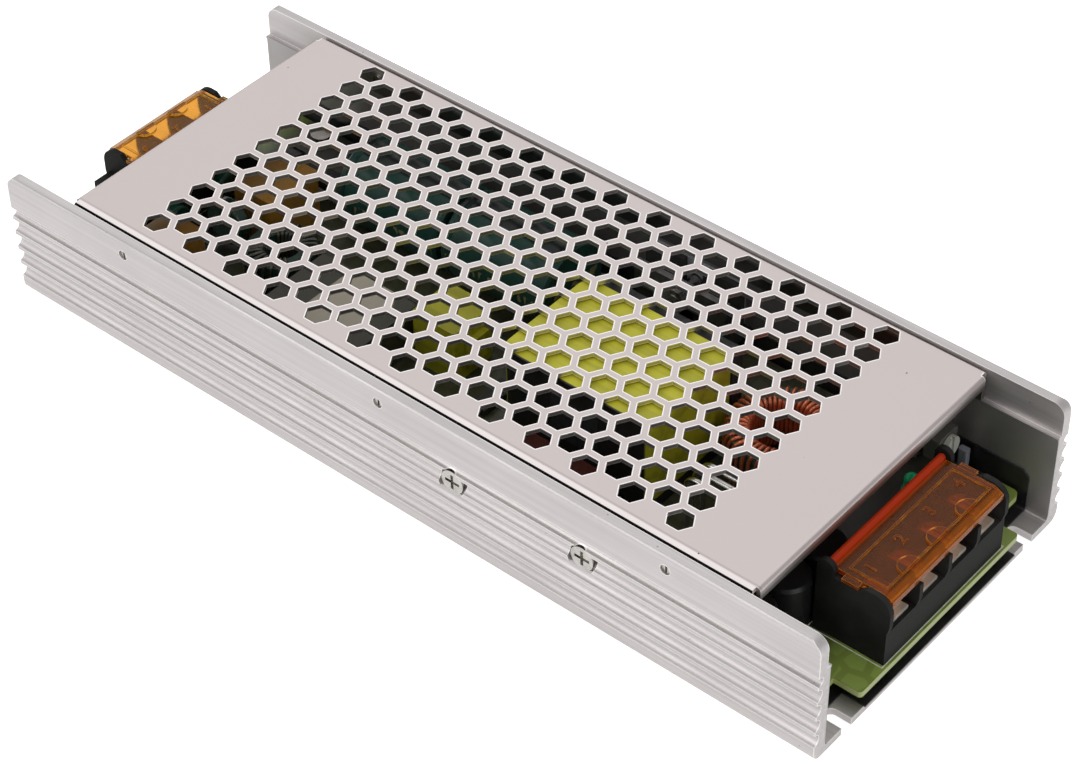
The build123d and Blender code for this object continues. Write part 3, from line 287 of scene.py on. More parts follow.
class Finish:
    """A material with one shader, and short calls for the textures that feed it."""

    def __init__(self, name, base, roughness, metallic=0.0, **sockets):
        self.material = bpy.data.materials.new(name)
        self.material.use_nodes = True
        self.nodes = self.material.node_tree.nodes
        self.links = self.material.node_tree.links
        self.shader = self.nodes["Principled BSDF"]
        self.shader.inputs["Base Color"].default_value = (*base, 1.0)
        self.shader.inputs["Roughness"].default_value = roughness
        self.shader.inputs["Metallic"].default_value = metallic
        for socket, value in sockets.items():
            self.shader.inputs[socket.replace("_", " ")].default_value = value

    def coords(self, stretch=(1, 1, 1)):
        """Object coordinates in metres, stretched."""
        place = self.nodes.new("ShaderNodeTexCoord")
        mapping = self.nodes.new("ShaderNodeMapping")
        mapping.inputs["Scale"].default_value = stretch
        self.links.new(place.outputs["Object"], mapping.inputs["Vector"])
        return mapping.outputs["Vector"]

    def noise(self, scale, detail=2.0, stretch=(1, 1, 1)):
        """Cloudy noise from 0 to 1."""
        node = self.nodes.new("ShaderNodeTexNoise")
        node.inputs["Scale"].default_value = scale
        node.inputs["Detail"].default_value = detail
        self.links.new(self.coords(stretch), node.inputs["Vector"])
        return node.outputs["Fac"]

    def cells(self, scale):
        """Distance to the nearest edge between random cells."""
        node = self.nodes.new("ShaderNodeTexVoronoi")
        node.feature = "DISTANCE_TO_EDGE"
        node.inputs["Scale"].default_value = scale
        self.links.new(self.coords(), node.inputs["Vector"])
        return node.outputs["Distance"]

    def edges(self, radius, low, high):
        """1 near the sharp edges of the mesh and 0 on its flats, from how far a rounded normal leans away."""
        rounded = self.nodes.new("ShaderNodeBevel")
        rounded.samples = EDGE_SAMPLES
        rounded.inputs["Radius"].default_value = radius
        flat = self.nodes.new("ShaderNodeNewGeometry")
        dot = self.nodes.new("ShaderNodeVectorMath")
        dot.operation = "DOT_PRODUCT"
        self.links.new(rounded.outputs["Normal"], dot.inputs[0])
        self.links.new(flat.outputs["Normal"], dot.inputs[1])
        return self.span(dot.outputs["Value"], high, low)

    def axis(self, name):
        """One object coordinate."""
        split = self.nodes.new("ShaderNodeSeparateXYZ")
        self.links.new(self.coords(), split.inputs["Vector"])
        return split.outputs[name]

    def span(self, value, low, high, out_low=0.0, out_high=1.0):
        """Map a value from low..high to out_low..out_high, held at the ends."""
        node = self.nodes.new("ShaderNodeMapRange")
        node.inputs["From Min"].default_value = low
        node.inputs["From Max"].default_value = high
        node.inputs["To Min"].default_value = out_low
        node.inputs["To Max"].default_value = out_high
        self.links.new(value, node.inputs["Value"])
        return node.outputs["Result"]

    def sums(self, operation, first, second=0.0):
        """Arithmetic on one value or two; a plain number may stand for the second."""
        node = self.nodes.new("ShaderNodeMath")
        node.operation = operation
        self.links.new(first, node.inputs[0])
        if isinstance(second, (int, float)):
            node.inputs[1].default_value = second
        else:
            self.links.new(second, node.inputs[1])
        return node.outputs[0]

    def away(self, value, middle):
        """How far a value lies from a number."""
        return self.sums("ABSOLUTE", self.sums("SUBTRACT", value, middle))

    def mix(self, factor, first, second):
        """Colour between two, each a colour or a socket."""
        node = self.nodes.new("ShaderNodeMix")
        node.data_type = "RGBA"
        self.links.new(factor, node.inputs["Factor"])
        for socket, value in ((node.inputs[MIX_FIRST], first), (node.inputs[MIX_SECOND], second)):
            if isinstance(value, bpy.types.NodeSocket):
                self.links.new(value, socket)
            else:
                socket.default_value = (*value, 1.0)
        return node.outputs[MIX_RESULT]

    def clouded(self, noise, dark, light):
        """Colour that runs from dark to light as a noise rises."""
        return self.mix(self.span(noise, 0.3, 0.7), dark, light)

    def product(self, first, second):
        """Two colours from sockets, multiplied."""
        node = self.nodes.new("ShaderNodeMix")
        node.data_type = "RGBA"
        node.blend_type = "MULTIPLY"
        node.inputs["Factor"].default_value = 1.0
        self.links.new(first, node.inputs[MIX_FIRST])
        self.links.new(second, node.inputs[MIX_SECOND])
        return node.outputs[MIX_RESULT]

    def feed(self, socket, value):
        """Link a value to a socket of the shader."""
        self.links.new(value, self.shader.inputs[socket])

    def bump(self, height, strength, depth):
        """Relief from a height, depth in metres."""
        node = self.nodes.new("ShaderNodeBump")
        node.inputs["Strength"].default_value = strength
        node.inputs["Distance"].default_value = depth
        self.links.new(height, node.inputs["Height"])
        self.links.new(node.outputs["Normal"], self.shader.inputs["Normal"])


def shade(base, factor):
    """A colour made lighter or darker."""
    return tuple(min(1.0, c * factor) for c in base)


def dress(node, finish):
    """Give a CAD node a finish."""
    for slot in frame["nodes"][node].material_slots:
        slot.material = finish.material


def extruded_aluminium(base, inner_face):
    """Bare extrusion: die lines along X, small dark specks, painted edge highlights, painted inner-wall
    shade.
    """
    f = Finish("extruded_aluminium", base, 0.46, 0.88)
    lines = f.noise(900.0, 3.0, (0.012, 1.0, 1.0))
    clouds = f.noise(60.0, 4.0)
    tone = f.mix(f.span(lines, 0.35, 0.65), shade(base, 0.93), shade(base, 1.06))
    # Painted highlight: the sharp edges and ridge tips are made lighter
    tone = f.mix(f.edges(0.0004, 0.94, 0.995), tone, (0.86, 0.84, 0.83))
    # Painted shade: the inner walls above the base are made darker
    side = f.sums("ABSOLUTE", f.axis("Y"))
    shaded_inside = f.span(side, inner_face + 0.0001, inner_face + 0.0003, 1.0, 0.0)
    above_base = f.span(f.axis("Z"), 0.0022, 0.0030)
    tone = f.mix(f.sums("MULTIPLY", shaded_inside, above_base), tone, shade(base, 0.72))
    specks = f.span(f.noise(900.0, 1.0), 0.79, 0.83)
    f.feed("Base Color", f.mix(specks, tone, shade(base, 0.5)))
    f.feed("Roughness", f.span(clouds, 0.3, 0.7, 0.42, 0.54))
    f.bump(lines, 0.08, FINE_RELIEF)
    return f


def plated_sheet(base, top, near_side, sizes):
    """Plated sheet: rolling grain, soft clouds, dark specks, painted highlights on edges and near bend,
    painted shade by the bend and on flanges, painted shadow in the near gap.
    """
    f = Finish("plated_sheet", base, 0.40, 1.0)
    grain = f.noise(1500.0, 3.0, (0.05, 1.0, 1.0))
    clouds = f.noise(22.0, 4.0)
    tone = f.clouded(clouds, shade(base, 0.95), shade(base, 1.05))
    specks = f.span(f.noise(700.0, 1.0), 0.80, 0.84)
    # Painted highlight: the sharp edges, hole edges most of all, are made lighter
    rim_highlight = f.edges(0.0005, 0.975, 0.9995)
    tone = f.mix(rim_highlight, tone, (1.0, 0.98, 0.97))
    y = f.axis("Y")
    # Stripes along the near side: a painted shade line, a painted highlight on the bend and a painted shadow
    # in the gap by the wall
    for reach, blend, line in (
        (sizes.crease, 0.0004, shade(base, 0.82)),
        (sizes.bend, 0.0004, (0.86, 0.80, 0.79)),
        (sizes.seam, 0.0001, (0.006, 0.005, 0.005)),
    ):
        inner = near_side + reach
        tone = f.mix(f.span(y, inner, inner + blend, 1.0, 0.0), tone, line)
    # Painted shade: the flanges and end lips below the top are made dark
    shaded = top - sizes.flange_drop
    tone = f.mix(f.span(f.axis("Z"), shaded - 0.0010, shaded, 1.0, 0.0), tone, (0.22, 0.21, 0.20))
    f.feed("Base Color", f.mix(specks, tone, (0.10, 0.07, 0.08)))
    f.feed("Roughness", f.span(clouds, 0.3, 0.7, 0.34, 0.46))
    f.bump(grain, 0.06, FINE_RELIEF)
    return f


def bright_metal(name, base, roughness):
    """Plated or tinned small metal: slight cloudiness and fine scratches."""
    f = Finish(name, base, roughness, 1.0)
    clouds = f.noise(500.0, 3.0)
    f.feed("Base Color", f.clouded(clouds, shade(base, 0.82), shade(base, 1.08)))
    f.feed("Roughness", f.span(clouds, 0.3, 0.7, roughness * 0.8, roughness * 1.3))
    f.bump(f.noise(2500.0, 2.0), 0.08, 0.00002)
    return f


def moulded_plastic(name, base, roughness, grain=1800.0, relief=0.12):
    """Moulded plastic: fine spark texture, slight dust in its colour."""
    f = Finish(name, base, roughness)
    clouds = f.noise(120.0, 4.0)
    dust = tuple(c * 0.85 + 0.02 for c in base)
    f.feed("Base Color", f.mix(f.span(clouds, 0.35, 0.7), base, dust))
    f.feed("Roughness", f.span(clouds, 0.3, 0.7, roughness * 0.85, roughness * 1.15))
    f.bump(f.noise(grain, 2.0), relief, FINE_RELIEF)
    return f


def banded_case(name, base, ends, middle, half_width):
    """Moulded case with a pale band across it, centred on an X, between dark ends."""
    f = Finish(name, base, 0.4)
    clouds = f.noise(120.0, 4.0)
    distance = f.away(f.axis("X"), middle)
    tone = f.mix(f.span(clouds, 0.35, 0.7), shade(base, 0.92), base)
    f.feed("Base Color", f.mix(f.span(distance, half_width, half_width + 0.0003), tone, ends))
    f.bump(f.noise(1800.0, 2.0), 0.12, FINE_RELIEF)
    return f


def amber_plastic(name, base, light, rod_x, front_x):
    """Translucent amber: clear plate, red hinge rod, painted glow on edges and relief, painted shade on the
    sloped front.
    """
    f = Finish(name, base, 0.16, 0.0, Specular_IOR_Level=0.3, Transmission_Weight=0.86, IOR=1.25)
    reach = f.sums("ABSOLUTE", f.axis("X"))
    rod = f.span(f.away(reach, rod_x), 0.0008, 0.0015, 1.0, 0.0)
    # Painted shade: the sloped front is made darker
    front = f.span(reach, front_x, front_x + 0.0004, 0.0, 0.45)
    # Painted glow: the edges and relief take the light colour, broken up by noise
    flow = f.span(f.noise(420.0, 3.0), 0.45, 0.7, 0.55, 1.0)
    painted_glow = f.sums("MULTIPLY", f.edges(0.0003, 0.80, 0.99), flow)
    plate = f.clouded(f.noise(300.0, 2.0), shade(base, 0.85), base)
    plate = f.mix(front, plate, (light[0] * 0.42, light[1] * 0.28, light[2] * 0.2))
    tone = f.mix(painted_glow, plate, light)
    f.feed("Base Color", f.mix(rod, tone, (0.62, 0.05, 0.010)))
    # Less clear where the glow and shade are painted, and on the rod
    solid = f.sums("MAXIMUM", f.sums("MAXIMUM", painted_glow, rod), front)
    f.feed("Transmission Weight", f.span(solid, 0.0, 1.0, 0.90, 0.30))
    f.bump(f.noise(380.0, 2.0), 0.12, 0.0002)
    return f


def solder_mask(ends, shaded_inside, edge, low, high, sizes):
    """Board: tracks under a satin mask, green at its ends, painted shade below the cover that deepens further
    in, pale laminate edges.
    """
    f = Finish("solder_mask", ends, 0.34)
    tracks = f.span(f.cells(170.0), 0.10, 0.14)
    reach = f.sums("ABSOLUTE", f.axis("X"))
    # Painted shade: past the open ends the board turns dark, and darker still further in
    open_from = high[0] - sizes.open_board
    shade_from = high[0] - sizes.shaded_board
    open_end = f.span(reach, open_from - sizes.open_blend, open_from)
    shadow = f.span(reach, shade_from - 0.003, shade_from)
    mask = f.mix(open_end, f.mix(shadow, shaded_inside, shade(shaded_inside, 0.3)), ends)
    tone = f.product(mask, f.mix(tracks, (0.80, 0.78, 0.72), WHITE))
    z = f.axis("Z")
    above = f.span(z, low[2] + 0.0001, low[2] + 0.0002)
    below = f.span(z, high[2] - 0.0002, high[2] - 0.0001, 1.0, 0.0)
    f.feed("Base Color", f.mix(f.sums("MULTIPLY", above, below), tone, edge))
    f.bump(tracks, 0.15, FINE_RELIEF)
    return f


def wrapped_tape(name, base, shaded_side=None):
    """Polyester tape: satin film, faint wrinkles and overlapping turns; if asked, painted shade makes the
    side below a Y almost black.
    """
    f = Finish(name, base, 0.36, 0.0, Specular_IOR_Level=0.3, Coat_Weight=0.06, Coat_Roughness=0.2)
    clouds = f.noise(130.0, 3.0)
    turns = f.noise(420.0, 1.0, (0.04, 1.0, 1.0))
    tone = f.clouded(clouds, shade(base, 0.90), shade(base, 1.10))
    tone = f.mix(f.span(turns, 0.50, 0.60), tone, shade(base, 0.84))
    # Painted shade: the side below the Y is made almost black
    if shaded_side is not None:
        side = f.span(f.axis("Y"), shaded_side, shaded_side + 0.0002, 1.0, 0.0)
        tone = f.mix(side, tone, (0.022, 0.021, 0.018))
    f.feed("Base Color", tone)
    f.bump(f.sums("ADD", clouds, turns), 0.35, 0.00012)
    return f


def sleeve(name, base, top, top_z, print_z=None):
    """Shrunk sleeve: glossy with faint ripples, a top strip in its own colour and, if asked, a broken line of
    pale print.
    """
    f = Finish(name, base, 0.30, 0.0, Specular_IOR_Level=0.25, Coat_Weight=0.05, Coat_Roughness=0.15)
    clouds = f.noise(200.0, 2.0)
    tone = f.clouded(clouds, base, shade(base, 1.4))
    z = f.axis("Z")
    if print_z is not None:
        line = f.span(f.away(z, print_z), 0.0010, 0.0012, 1.0, 0.0)
        broken = f.span(f.noise(900.0, 1.0, (1.0, 0.4, 0.4)), 0.55, 0.60)
        tone = f.mix(f.sums("MULTIPLY", line, broken), tone, (0.26, 0.24, 0.12))
    # The top strip takes its own colour: on the green sleeve this is painted shade
    f.feed("Base Color", f.mix(f.span(z, top_z - 0.0006, top_z - 0.0004), tone, top))
    f.bump(clouds, 0.15, 0.0001)
    return f


def dipped(name, base):
    """Dipped coating: glossy with a slightly wavy surface."""
    f = Finish(name, base, 0.24, 0.0, Coat_Weight=0.4, Coat_Roughness=0.1)
    waves = f.noise(260.0, 2.0)
    f.feed("Base Color", f.clouded(waves, shade(base, 0.85), shade(base, 1.15)))
    f.bump(waves, 0.35, 0.0003)
    return f


def enamelled_wire(name, base, metallic):
    """Wire under clear enamel: strong highlights, tone changes along the wire."""
    f = Finish(name, base, 0.22, metallic, Coat_Weight=0.6, Coat_Roughness=0.08)
    tone = f.noise(400.0, 2.0)
    f.feed("Base Color", f.clouded(tone, shade(base, 0.75), shade(base, 1.2)))
    return f


def ferrite_core(name, base):
    """Sintered core: dark, matt, with small pits."""
    f = Finish(name, base, 0.55)
    pits = f.noise(1400.0, 3.0)
    f.feed("Base Color", f.clouded(pits, shade(base, 0.7), shade(base, 1.3)))
    f.bump(pits, 0.3, 0.00005)
    return f


# Operators, one for each group of like pieces


class SUPPLY_OT_housing(Operator):
    """Finish the channel and the screws, nuts, bars and pads on its walls"""

    bl_idname = "supply.housing"
    bl_label = "Channel and fasteners"

    def execute(self, context):
        colours = context.scene.supply_colours
        inner_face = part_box("insulating_sheet")[1][1]
        dress("channel_housing", extruded_aluminium(tuple(colours.aluminium), inner_face))
        steel = bright_metal("plated_steel", (0.55, 0.53, 0.50), 0.26)
        for node in ("cover_screws", "clamp_screws", "clamp_nuts", "board_screws"):
            dress(node, steel)
        dress("clamp_bars", bright_metal("clamp_steel", (0.42, 0.42, 0.42), 0.38))
        dress("thermal_pads", moulded_plastic("thermal_pad", (0.42, 0.43, 0.45), 0.75, 900.0, 0.3))
        return {"FINISHED"}


class SUPPLY_OT_cover(Operator):
    """Finish the perforated cover"""

    bl_idname = "supply.cover"
    bl_label = "Perforated cover"

    def execute(self, context):
        low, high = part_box("perforated_cover")
        sheet = tuple(context.scene.supply_colours.sheet)
        dress("perforated_cover", plated_sheet(sheet, high[2], low[1], context.scene.supply_sizes))
        return {"FINISHED"}


def print_strip(start, end, width, low, high):
    """Thin closed bar between two points of the board.

    Its four corners lie half a width each side of the line, once at the low height and once at the high one.
    """
    start = np.array(start, float)
    end = np.array(end, float)
    along = (end - start) / np.linalg.norm(end - start)
    side = np.array([-along[1], along[0]]) * width / 2
    corners = np.array([start - side, end - side, end + side, start + side])
    points = [np.column_stack([corners, np.full(4, z)]) for z in (low, high)]
    faces = [[3, 2, 1, 0], [4, 5, 6, 7], [0, 1, 5, 4], [1, 2, 6, 5], [2, 3, 7, 6], [3, 0, 4, 7]]
    return np.concatenate(points), np.array(faces)


def print_outline(low, high, width, bottom, top):
    """Rectangle drawn with four printed bars that meet at its corners without overlapping."""
    half = width / 2
    x0, y0 = low
    x1, y1 = high
    lines = (
        ((x0 - half, y0), (x1 - half, y0)),
        ((x1, y0 - half), (x1, y1 - half)),
        ((x1 + half, y1), (x0 + half, y1)),
        ((x0, y1 + half), (x0, y0 + half)),
    )
    return [print_strip(a, b, width, bottom, top) for a, b in lines]


class SUPPLY_OT_board(Operator):
    """Finish the board and its sheet, and print outlines round its two terminal blocks"""

    bl_idname = "supply.board"
    bl_label = "Circuit board"

    def execute(self, context):
        colours = context.scene.supply_colours
        sizes = context.scene.supply_sizes
        low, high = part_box("circuit_board")
        greens = (colours.board, colours.board_shaded_inside, colours.board_edge)
        dress("circuit_board", solder_mask(*map(tuple, greens), low, high, sizes))
        dress("board_standoffs", bright_metal("brass_standoff", (0.62, 0.46, 0.20), 0.3))
        sheet = moulded_plastic("insulating_film", (0.006, 0.006, 0.007), 0.32, 600.0, 0.1)
        dress("insulating_sheet", sheet)
        ink = Finish("board_ink", (0.82, 0.84, 0.74), 0.5)
        wear = ink.noise(900.0, 3.0)
        ink.feed("Base Color", ink.mix(ink.span(wear, 0.35, 0.65), (0.62, 0.68, 0.48), (0.86, 0.88, 0.80)))
        bottom = high[2]
        top = bottom + sizes.print_height
        edge = sizes.print_margin
        strips = []
        for node in ("output_terminal_block", "input_terminal_block"):
            block_low, block_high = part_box(node)
            reach = min(block_high[0] + edge, high[0] - edge)
            back = max(block_low[0] - edge, low[0] + edge)
            near = block_low[1] - edge
            far = block_high[1] + edge
            strips += print_outline((back, near), (reach, far), sizes.print_width, bottom, top)
        mesh = surface("board_print", *join_shapes(strips))
        add_piece(mesh, ink.material, SUPPLY, smooth=False)
        return {"FINISHED"}


def numerals(name, body, places, height, relief, top, turn, material):
    """Raised numerals 1, 2, 3... at places on a lid, each a text made a mesh and then put in place."""
    points = []
    faces = []
    total = 0
    for i, (x, y) in enumerate(places):
        text = bpy.data.curves.new(f"{name}_{i}", "FONT")
        text.body = str(i + 1)
        text.size = height * TYPE_SIZE
        text.extrude = relief / 2
        text.bevel_depth = relief / 4
        text.bevel_resolution = 1
        text.align_x = "CENTER"
        text.align_y = "CENTER"
        holder = bpy.data.objects.new(f"{name}_{i}", text)
        bpy.context.scene.collection.objects.link(holder)
        digit = bpy.data.meshes.new_from_object(holder)
        digit.transform(Matrix.Translation((x, y, top + relief / 2)) @ Matrix.Rotation(turn, 4, "Z"))
        corners = np.empty(len(digit.vertices) * 3)
        digit.vertices.foreach_get("co", corners)
        points.append(corners.reshape(-1, 3))
        faces += [[corner + total for corner in face.vertices] for face in digit.polygons]
        total += len(digit.vertices)
        bpy.data.objects.remove(holder)
        bpy.data.meshes.remove(digit)
        bpy.data.curves.remove(text)
    add_piece(surface(name, np.concatenate(points), faces), material, body, smooth=False)


class SUPPLY_OT_terminals(Operator):
    """Finish both terminal blocks, their covers and contacts, and raise plain numerals on the covers"""

    bl_idname = "supply.terminals"
    bl_label = "Terminal blocks"

    def execute(self, context):
        colours = context.scene.supply_colours
        sizes = context.scene.supply_sizes
        block = moulded_plastic("block_plastic", (0.015, 0.015, 0.014), 0.55, 1500.0, 0.12)
        block.shader.inputs["Specular IOR Level"].default_value = 0.05
        tinned = bright_metal("tinned_contact", (0.80, 0.76, 0.66), 0.35)
        tinned.shader.inputs["Metallic"].default_value = 0.45
        screw = bright_metal("terminal_screw", (0.52, 0.50, 0.47), 0.3)
        hinges = {joint["child"]: joint["pos_m"] for joint in frame["joints"]}
        for end, body, poles, sign, base, light in (
            ("output", OUTPUT_LID, 4, 1, colours.amber, colours.amber_glow),
            ("input", INPUT_LID, 3, -1, colours.yellow, colours.yellow_glow),
        ):
            rod_x, centre, rod_z = hinges[body]
            rod_x = abs(rod_x)
            plastic = amber_plastic(f"{end}_amber", tuple(base), tuple(light), rod_x, rod_x + sizes.lid_plate)
            dress(f"{end}_terminal_block", block)
            dress(f"{end}_terminal_cover", plastic)
            dress(f"{end}_contact_plates", tinned)
            dress(f"{end}_clamp_washers", tinned)
            dress(f"{end}_terminal_screws", screw)
            row = sign * (rod_x + sizes.numeral_row)
            places = [(row, centre + sign * (i - (poles - 1) / 2) * sizes.pole_pitch) for i in range(poles)]
            numerals(
                f"{end}_numerals", body, places, sizes.numeral, sizes.numeral_relief, rod_z - sizes.lid_drop,
                sign * math.pi / 2, plastic.material,
            )
        return {"FINISHED"}


class SUPPLY_OT_transformers(Operator):
    """Finish the taped transformers with their cores and bobbin"""

    bl_idname = "supply.transformers"
    bl_label = "Transformers"

    def execute(self, context):
        base = tuple(context.scene.supply_colours.tape)
        low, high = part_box("transformer_winding")
        # Painted shade on the near side of the winding
        dress("transformer_winding", wrapped_tape("transformer_tape", base, low[1] + 0.0003))
        tape = wrapped_tape("standby_tape", shade(base, 0.9))
        dress("standby_winding", tape)
        dress("standby_core", tape)
        dress("transformer_core", ferrite_core("ferrite_core", (0.030, 0.030, 0.032)))
        dress("transformer_bobbin", moulded_plastic("bobbin_plastic", (0.012, 0.012, 0.013), 0.45))
        return {"FINISHED"}


class SUPPLY_OT_windings(Operator):
    """Wind the output inductor and the line filter choke with real helical wire"""

    bl_idname = "supply.windings"
    bl_label = "Ring windings"

    def execute(self, context):
        sizes = context.scene.supply_sizes
        wire = enamelled_wire("enamelled_wire", tuple(context.scene.supply_colours.copper), 0.6)
        dark = enamelled_wire("dark_enamel", (0.055, 0.060, 0.045), 0.2)
        dress("inductor_core", ferrite_core("inductor_core", (0.05, 0.09, 0.06)))
        dress("choke_core", ferrite_core("choke_core", (0.015, 0.045, 0.032)))
        step = 2 * np.pi / (sizes.turns * sizes.strands)
        sweep = 2 * np.pi * sizes.wound_share
        strands = [
            ring_wire("inductor_core", INDUCTOR_HOLE, sizes.strand, sizes.turns, i * step, sweep)
            for i in range(sizes.strands)
        ]
        mesh = surface("inductor_wire", *join_shapes(strands))
        piece = add_piece(mesh, wire.material, SUPPLY)
        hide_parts("inductor_winding")
        gap = (np.pi - sizes.choke_sweep) / 2
        halves = [
            ring_wire("choke_core", CHOKE_HOLE, sizes.choke_wire, sizes.choke_turns, start, sizes.choke_sweep)
            for start in (gap, np.pi + gap)
        ]
        mesh = surface("choke_wire", *join_shapes(halves))
        piece = add_piece(mesh, dark.material, SUPPLY)
        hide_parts("choke_windings")
        return {"FINISHED"}


class SUPPLY_OT_capacitors(Operator):
    """Finish the sleeved, boxed and dipped capacitors"""

    bl_idname = "supply.capacitors"
    bl_label = "Capacitors"

    def execute(self, context):
        colours = context.scene.supply_colours
        low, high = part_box("bulk_capacitors")
        print_z = (low[2] + high[2]) / 2
        # Painted shade: the top of the green sleeve is made near black
        green = sleeve("green_sleeve", tuple(colours.sleeve), (0.006, 0.012, 0.010), high[2], print_z)
        dress("bulk_capacitors", green)
        top_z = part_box("output_capacitors")[1][2]
        black = sleeve("black_sleeve", (0.010, 0.010, 0.011), (0.012, 0.012, 0.012), top_z)
        dress("output_capacitors", black)
        dress("line_filter_capacitors", moulded_plastic("box_plastic", tuple(colours.box), 0.28, 800.0, 0.1))
        dress("film_capacitors", dipped("red_dip", (0.09, 0.020, 0.012)))
        dress("earth_capacitors", dipped("green_dip", (0.008, 0.075, 0.045)))
        dress("sense_capacitor", dipped("grey_dip", (0.24, 0.25, 0.28)))
        return {"FINISHED"}


class SUPPLY_OT_mains(Operator):
    """Finish the fuse, discs, relay and bridge on the mains side"""

    bl_idname = "supply.mains"
    bl_label = "Mains side"

    def execute(self, context):
        sizes = context.scene.supply_sizes
        dress("fuse", moulded_plastic("fuse_sleeve", (0.012, 0.011, 0.010), 0.5))
        dress("fuse_clips", bright_metal("clip_metal", (0.62, 0.60, 0.55), 0.3))
        dress("inrush_thermistor", dipped("thermistor_dip", (0.010, 0.050, 0.030)))
        dress("varistor", dipped("varistor_dip", (0.012, 0.030, 0.060)))
        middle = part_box("inrush_relay")[1][0] - sizes.relay_band_inset
        half = sizes.relay_band / 2
        case = banded_case("relay_case", (0.55, 0.50, 0.40), (0.052, 0.052, 0.036), middle, half)
        dress("inrush_relay", case)
        dress("bridge_rectifier", moulded_plastic("bridge_case", (0.012, 0.012, 0.013), 0.5))
        return {"FINISHED"}


class SUPPLY_OT_power(Operator):
    """Finish the power devices, small packages and wire links"""

    bl_idname = "supply.power"
    bl_label = "Power devices"

    def execute(self, context):
        package = moulded_plastic("package_plastic", (0.028, 0.028, 0.024), 0.55)
        for node in ("output_rectifiers", "power_transistors", "optocouplers", "control_chips"):
            dress(node, package)
        dress("wire_links", bright_metal("tinned_wire", (0.72, 0.71, 0.68), 0.16))
        return {"FINISHED"}


class SUPPLY_OT_trimmer(Operator):
    """Finish the voltage trimmer and the indicator led"""

    bl_idname = "supply.trimmer"
    bl_label = "Trimmer and led"

    def execute(self, context):
        dress("trimmer_body", moulded_plastic("trimmer_case", (0.10, 0.10, 0.085), 0.35))
        dress("trimmer_rotor", moulded_plastic("rotor_plastic", (0.60, 0.60, 0.54), 0.3))
        led = Finish("led_epoxy", (0.02, 0.75, 0.30), 0.08, 0.0, Transmission_Weight=0.15, IOR=1.5)
        clouds = led.noise(500.0)
        led.feed("Base Color", led.clouded(clouds, (0.017, 0.66, 0.26), (0.023, 0.84, 0.34)))
        led.bump(clouds, 0.05, 0.00005)
        dress("indicator_led", led)
        return {"FINISHED"}


def floor_material():
    """Pale floor: white for rays from the camera and in reflections, with its own shadow kept."""
    f = Finish("pale_floor", (0.80, 0.80, 0.80), 0.9)
    tone = f.noise(3.0, 2.0)
    f.feed("Base Color", f.clouded(tone, (0.79, 0.79, 0.79), (0.81, 0.81, 0.81)))
    path = f.nodes.new("ShaderNodeLightPath")
    seen = f.sums("MULTIPLY", path.outputs["Is Camera Ray"], 0.80)
    mirrored = f.sums("MAXIMUM", path.outputs["Is Glossy Ray"], path.outputs["Is Transmission Ray"])
    f.shader.inputs["Emission Color"].default_value = (*WHITE, 1.0)
    f.feed("Emission Strength", f.sums("MAXIMUM", seen, f.sums("MULTIPLY", mirrored, 0.45)))
    return f.material


def add_lamp(name, place, size, power):
    """Square white area lamp that faces the object."""
    data = bpy.data.lights.new(name, "AREA")
    data.size = size
    data.energy = power
    lamp = bpy.data.objects.new(name, data)
    bpy.context.scene.collection.objects.link(lamp)
    lamp.location = place
    lamp.rotation_euler = (Vector(LAMP_TARGET) - Vector(place)).to_track_quat("-Z", "Y").to_euler()


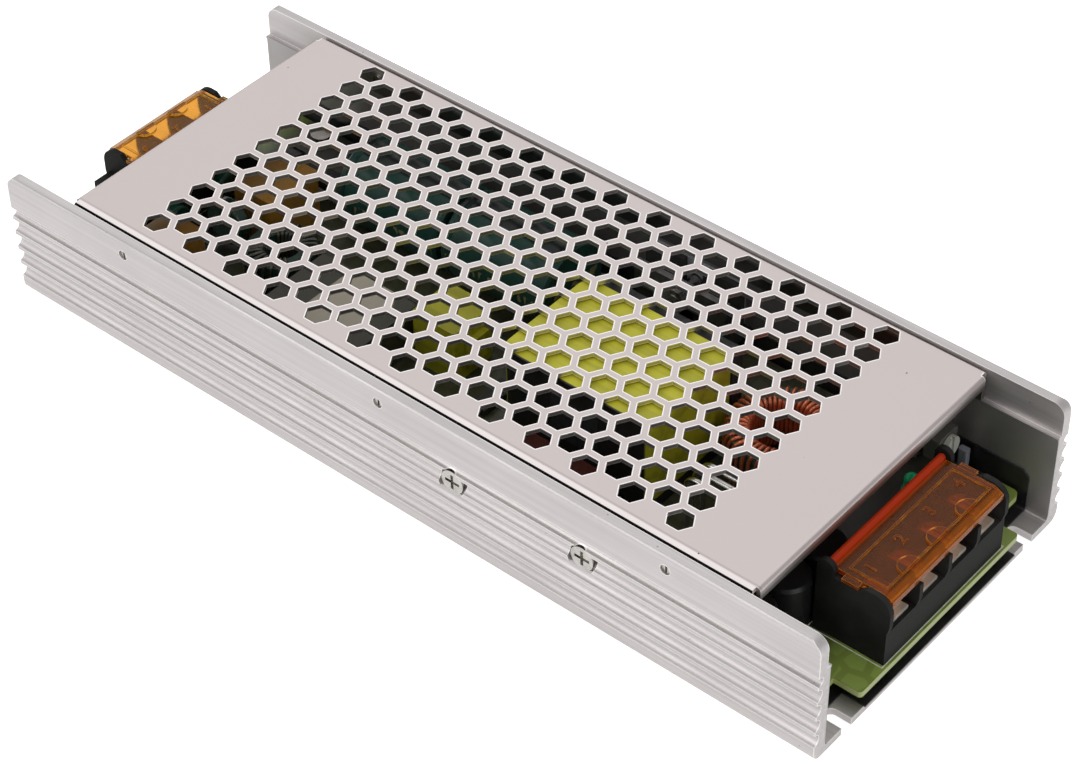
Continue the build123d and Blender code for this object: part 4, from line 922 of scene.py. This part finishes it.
class SUPPLY_OT_stage(Operator):
    """Set up the floor, the room's light, the lamps and the camera"""

    bl_idname = "supply.stage"
    bl_label = "Studio"

    def execute(self, context):
        scene = context.scene
        studio = scene.supply_studio
        half = studio.floor_size
        z = -studio.floor_drop
        corners = np.array([(-half, -half, z), (half, -half, z), (half, half, z), (-half, half, z)])
        mesh = surface("floor", corners, [(0, 1, 2, 3)])
        mesh.materials.append(floor_material())
        floor = bpy.data.objects.new("floor", mesh)
        scene.collection.objects.link(floor)

        world = bpy.data.worlds.new("room")
        scene.world = world
        world.use_nodes = True
        background = world.node_tree.nodes["Background"]
        background.inputs["Color"].default_value = (*WHITE, 1.0)
        background.inputs["Strength"].default_value = studio.ambient

        for lamp in LAMPS:
            add_lamp(*lamp)

        data = bpy.data.cameras.new("camera")
        data.lens = studio.lens
        data.sensor_width = 36.0
        data.clip_start = 0.01
        camera = bpy.data.objects.new("camera", data)
        scene.collection.objects.link(camera)
        forward = Vector(studio.forward).normalized()
        right = Vector(studio.right)
        right = (right - forward * right.dot(forward)).normalized()
        up = right.cross(forward)
        turn = Matrix((right, up, -forward)).transposed().to_4x4()
        camera.matrix_world = Matrix.Translation(studio.place) @ turn
        scene.camera = camera
        scene.view_settings.view_transform = "Standard"
        return {"FINISHED"}


class SUPPLY_PT_panel(Panel):
    """Sidebar panel with every step"""

    bl_label = "Led power supply"
    bl_idname = "SUPPLY_PT_panel"
    bl_space_type = "VIEW_3D"
    bl_region_type = "UI"
    bl_category = "Supply"

    def draw(self, context):
        layout = self.layout
        for operator in OPERATORS:
            layout.operator(operator.bl_idname)
        for group in (context.scene.supply_colours, context.scene.supply_sizes, context.scene.supply_studio):
            for key in group.__annotations__:
                layout.prop(group, key)


OPERATORS = (
    SUPPLY_OT_housing,
    SUPPLY_OT_cover,
    SUPPLY_OT_board,
    SUPPLY_OT_terminals,
    SUPPLY_OT_transformers,
    SUPPLY_OT_windings,
    SUPPLY_OT_capacitors,
    SUPPLY_OT_mains,
    SUPPLY_OT_power,
    SUPPLY_OT_trimmer,
    SUPPLY_OT_stage,
)
GROUPS = (SupplyColours, SupplySizes, SupplyStudio)


def register():
    """Register the groups, operators and panel, and put the groups on the scene."""
    for item in (*GROUPS, *OPERATORS, SUPPLY_PT_panel):
        bpy.utils.register_class(item)
    bpy.types.Scene.supply_colours = PointerProperty(type=SupplyColours)
    bpy.types.Scene.supply_sizes = PointerProperty(type=SupplySizes)
    bpy.types.Scene.supply_studio = PointerProperty(type=SupplyStudio)


def unregister():
    """Take everything off again."""
    del bpy.types.Scene.supply_colours
    del bpy.types.Scene.supply_sizes
    del bpy.types.Scene.supply_studio
    for item in reversed((*GROUPS, *OPERATORS, SUPPLY_PT_panel)):
        bpy.utils.unregister_class(item)


def main():
    """Build the dressed supply."""
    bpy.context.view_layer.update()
    register()
    for operator in OPERATORS:
        group, name = operator.bl_idname.split(".")
        getattr(getattr(bpy.ops, group), name)()


if __name__ == "__main__":
    main()
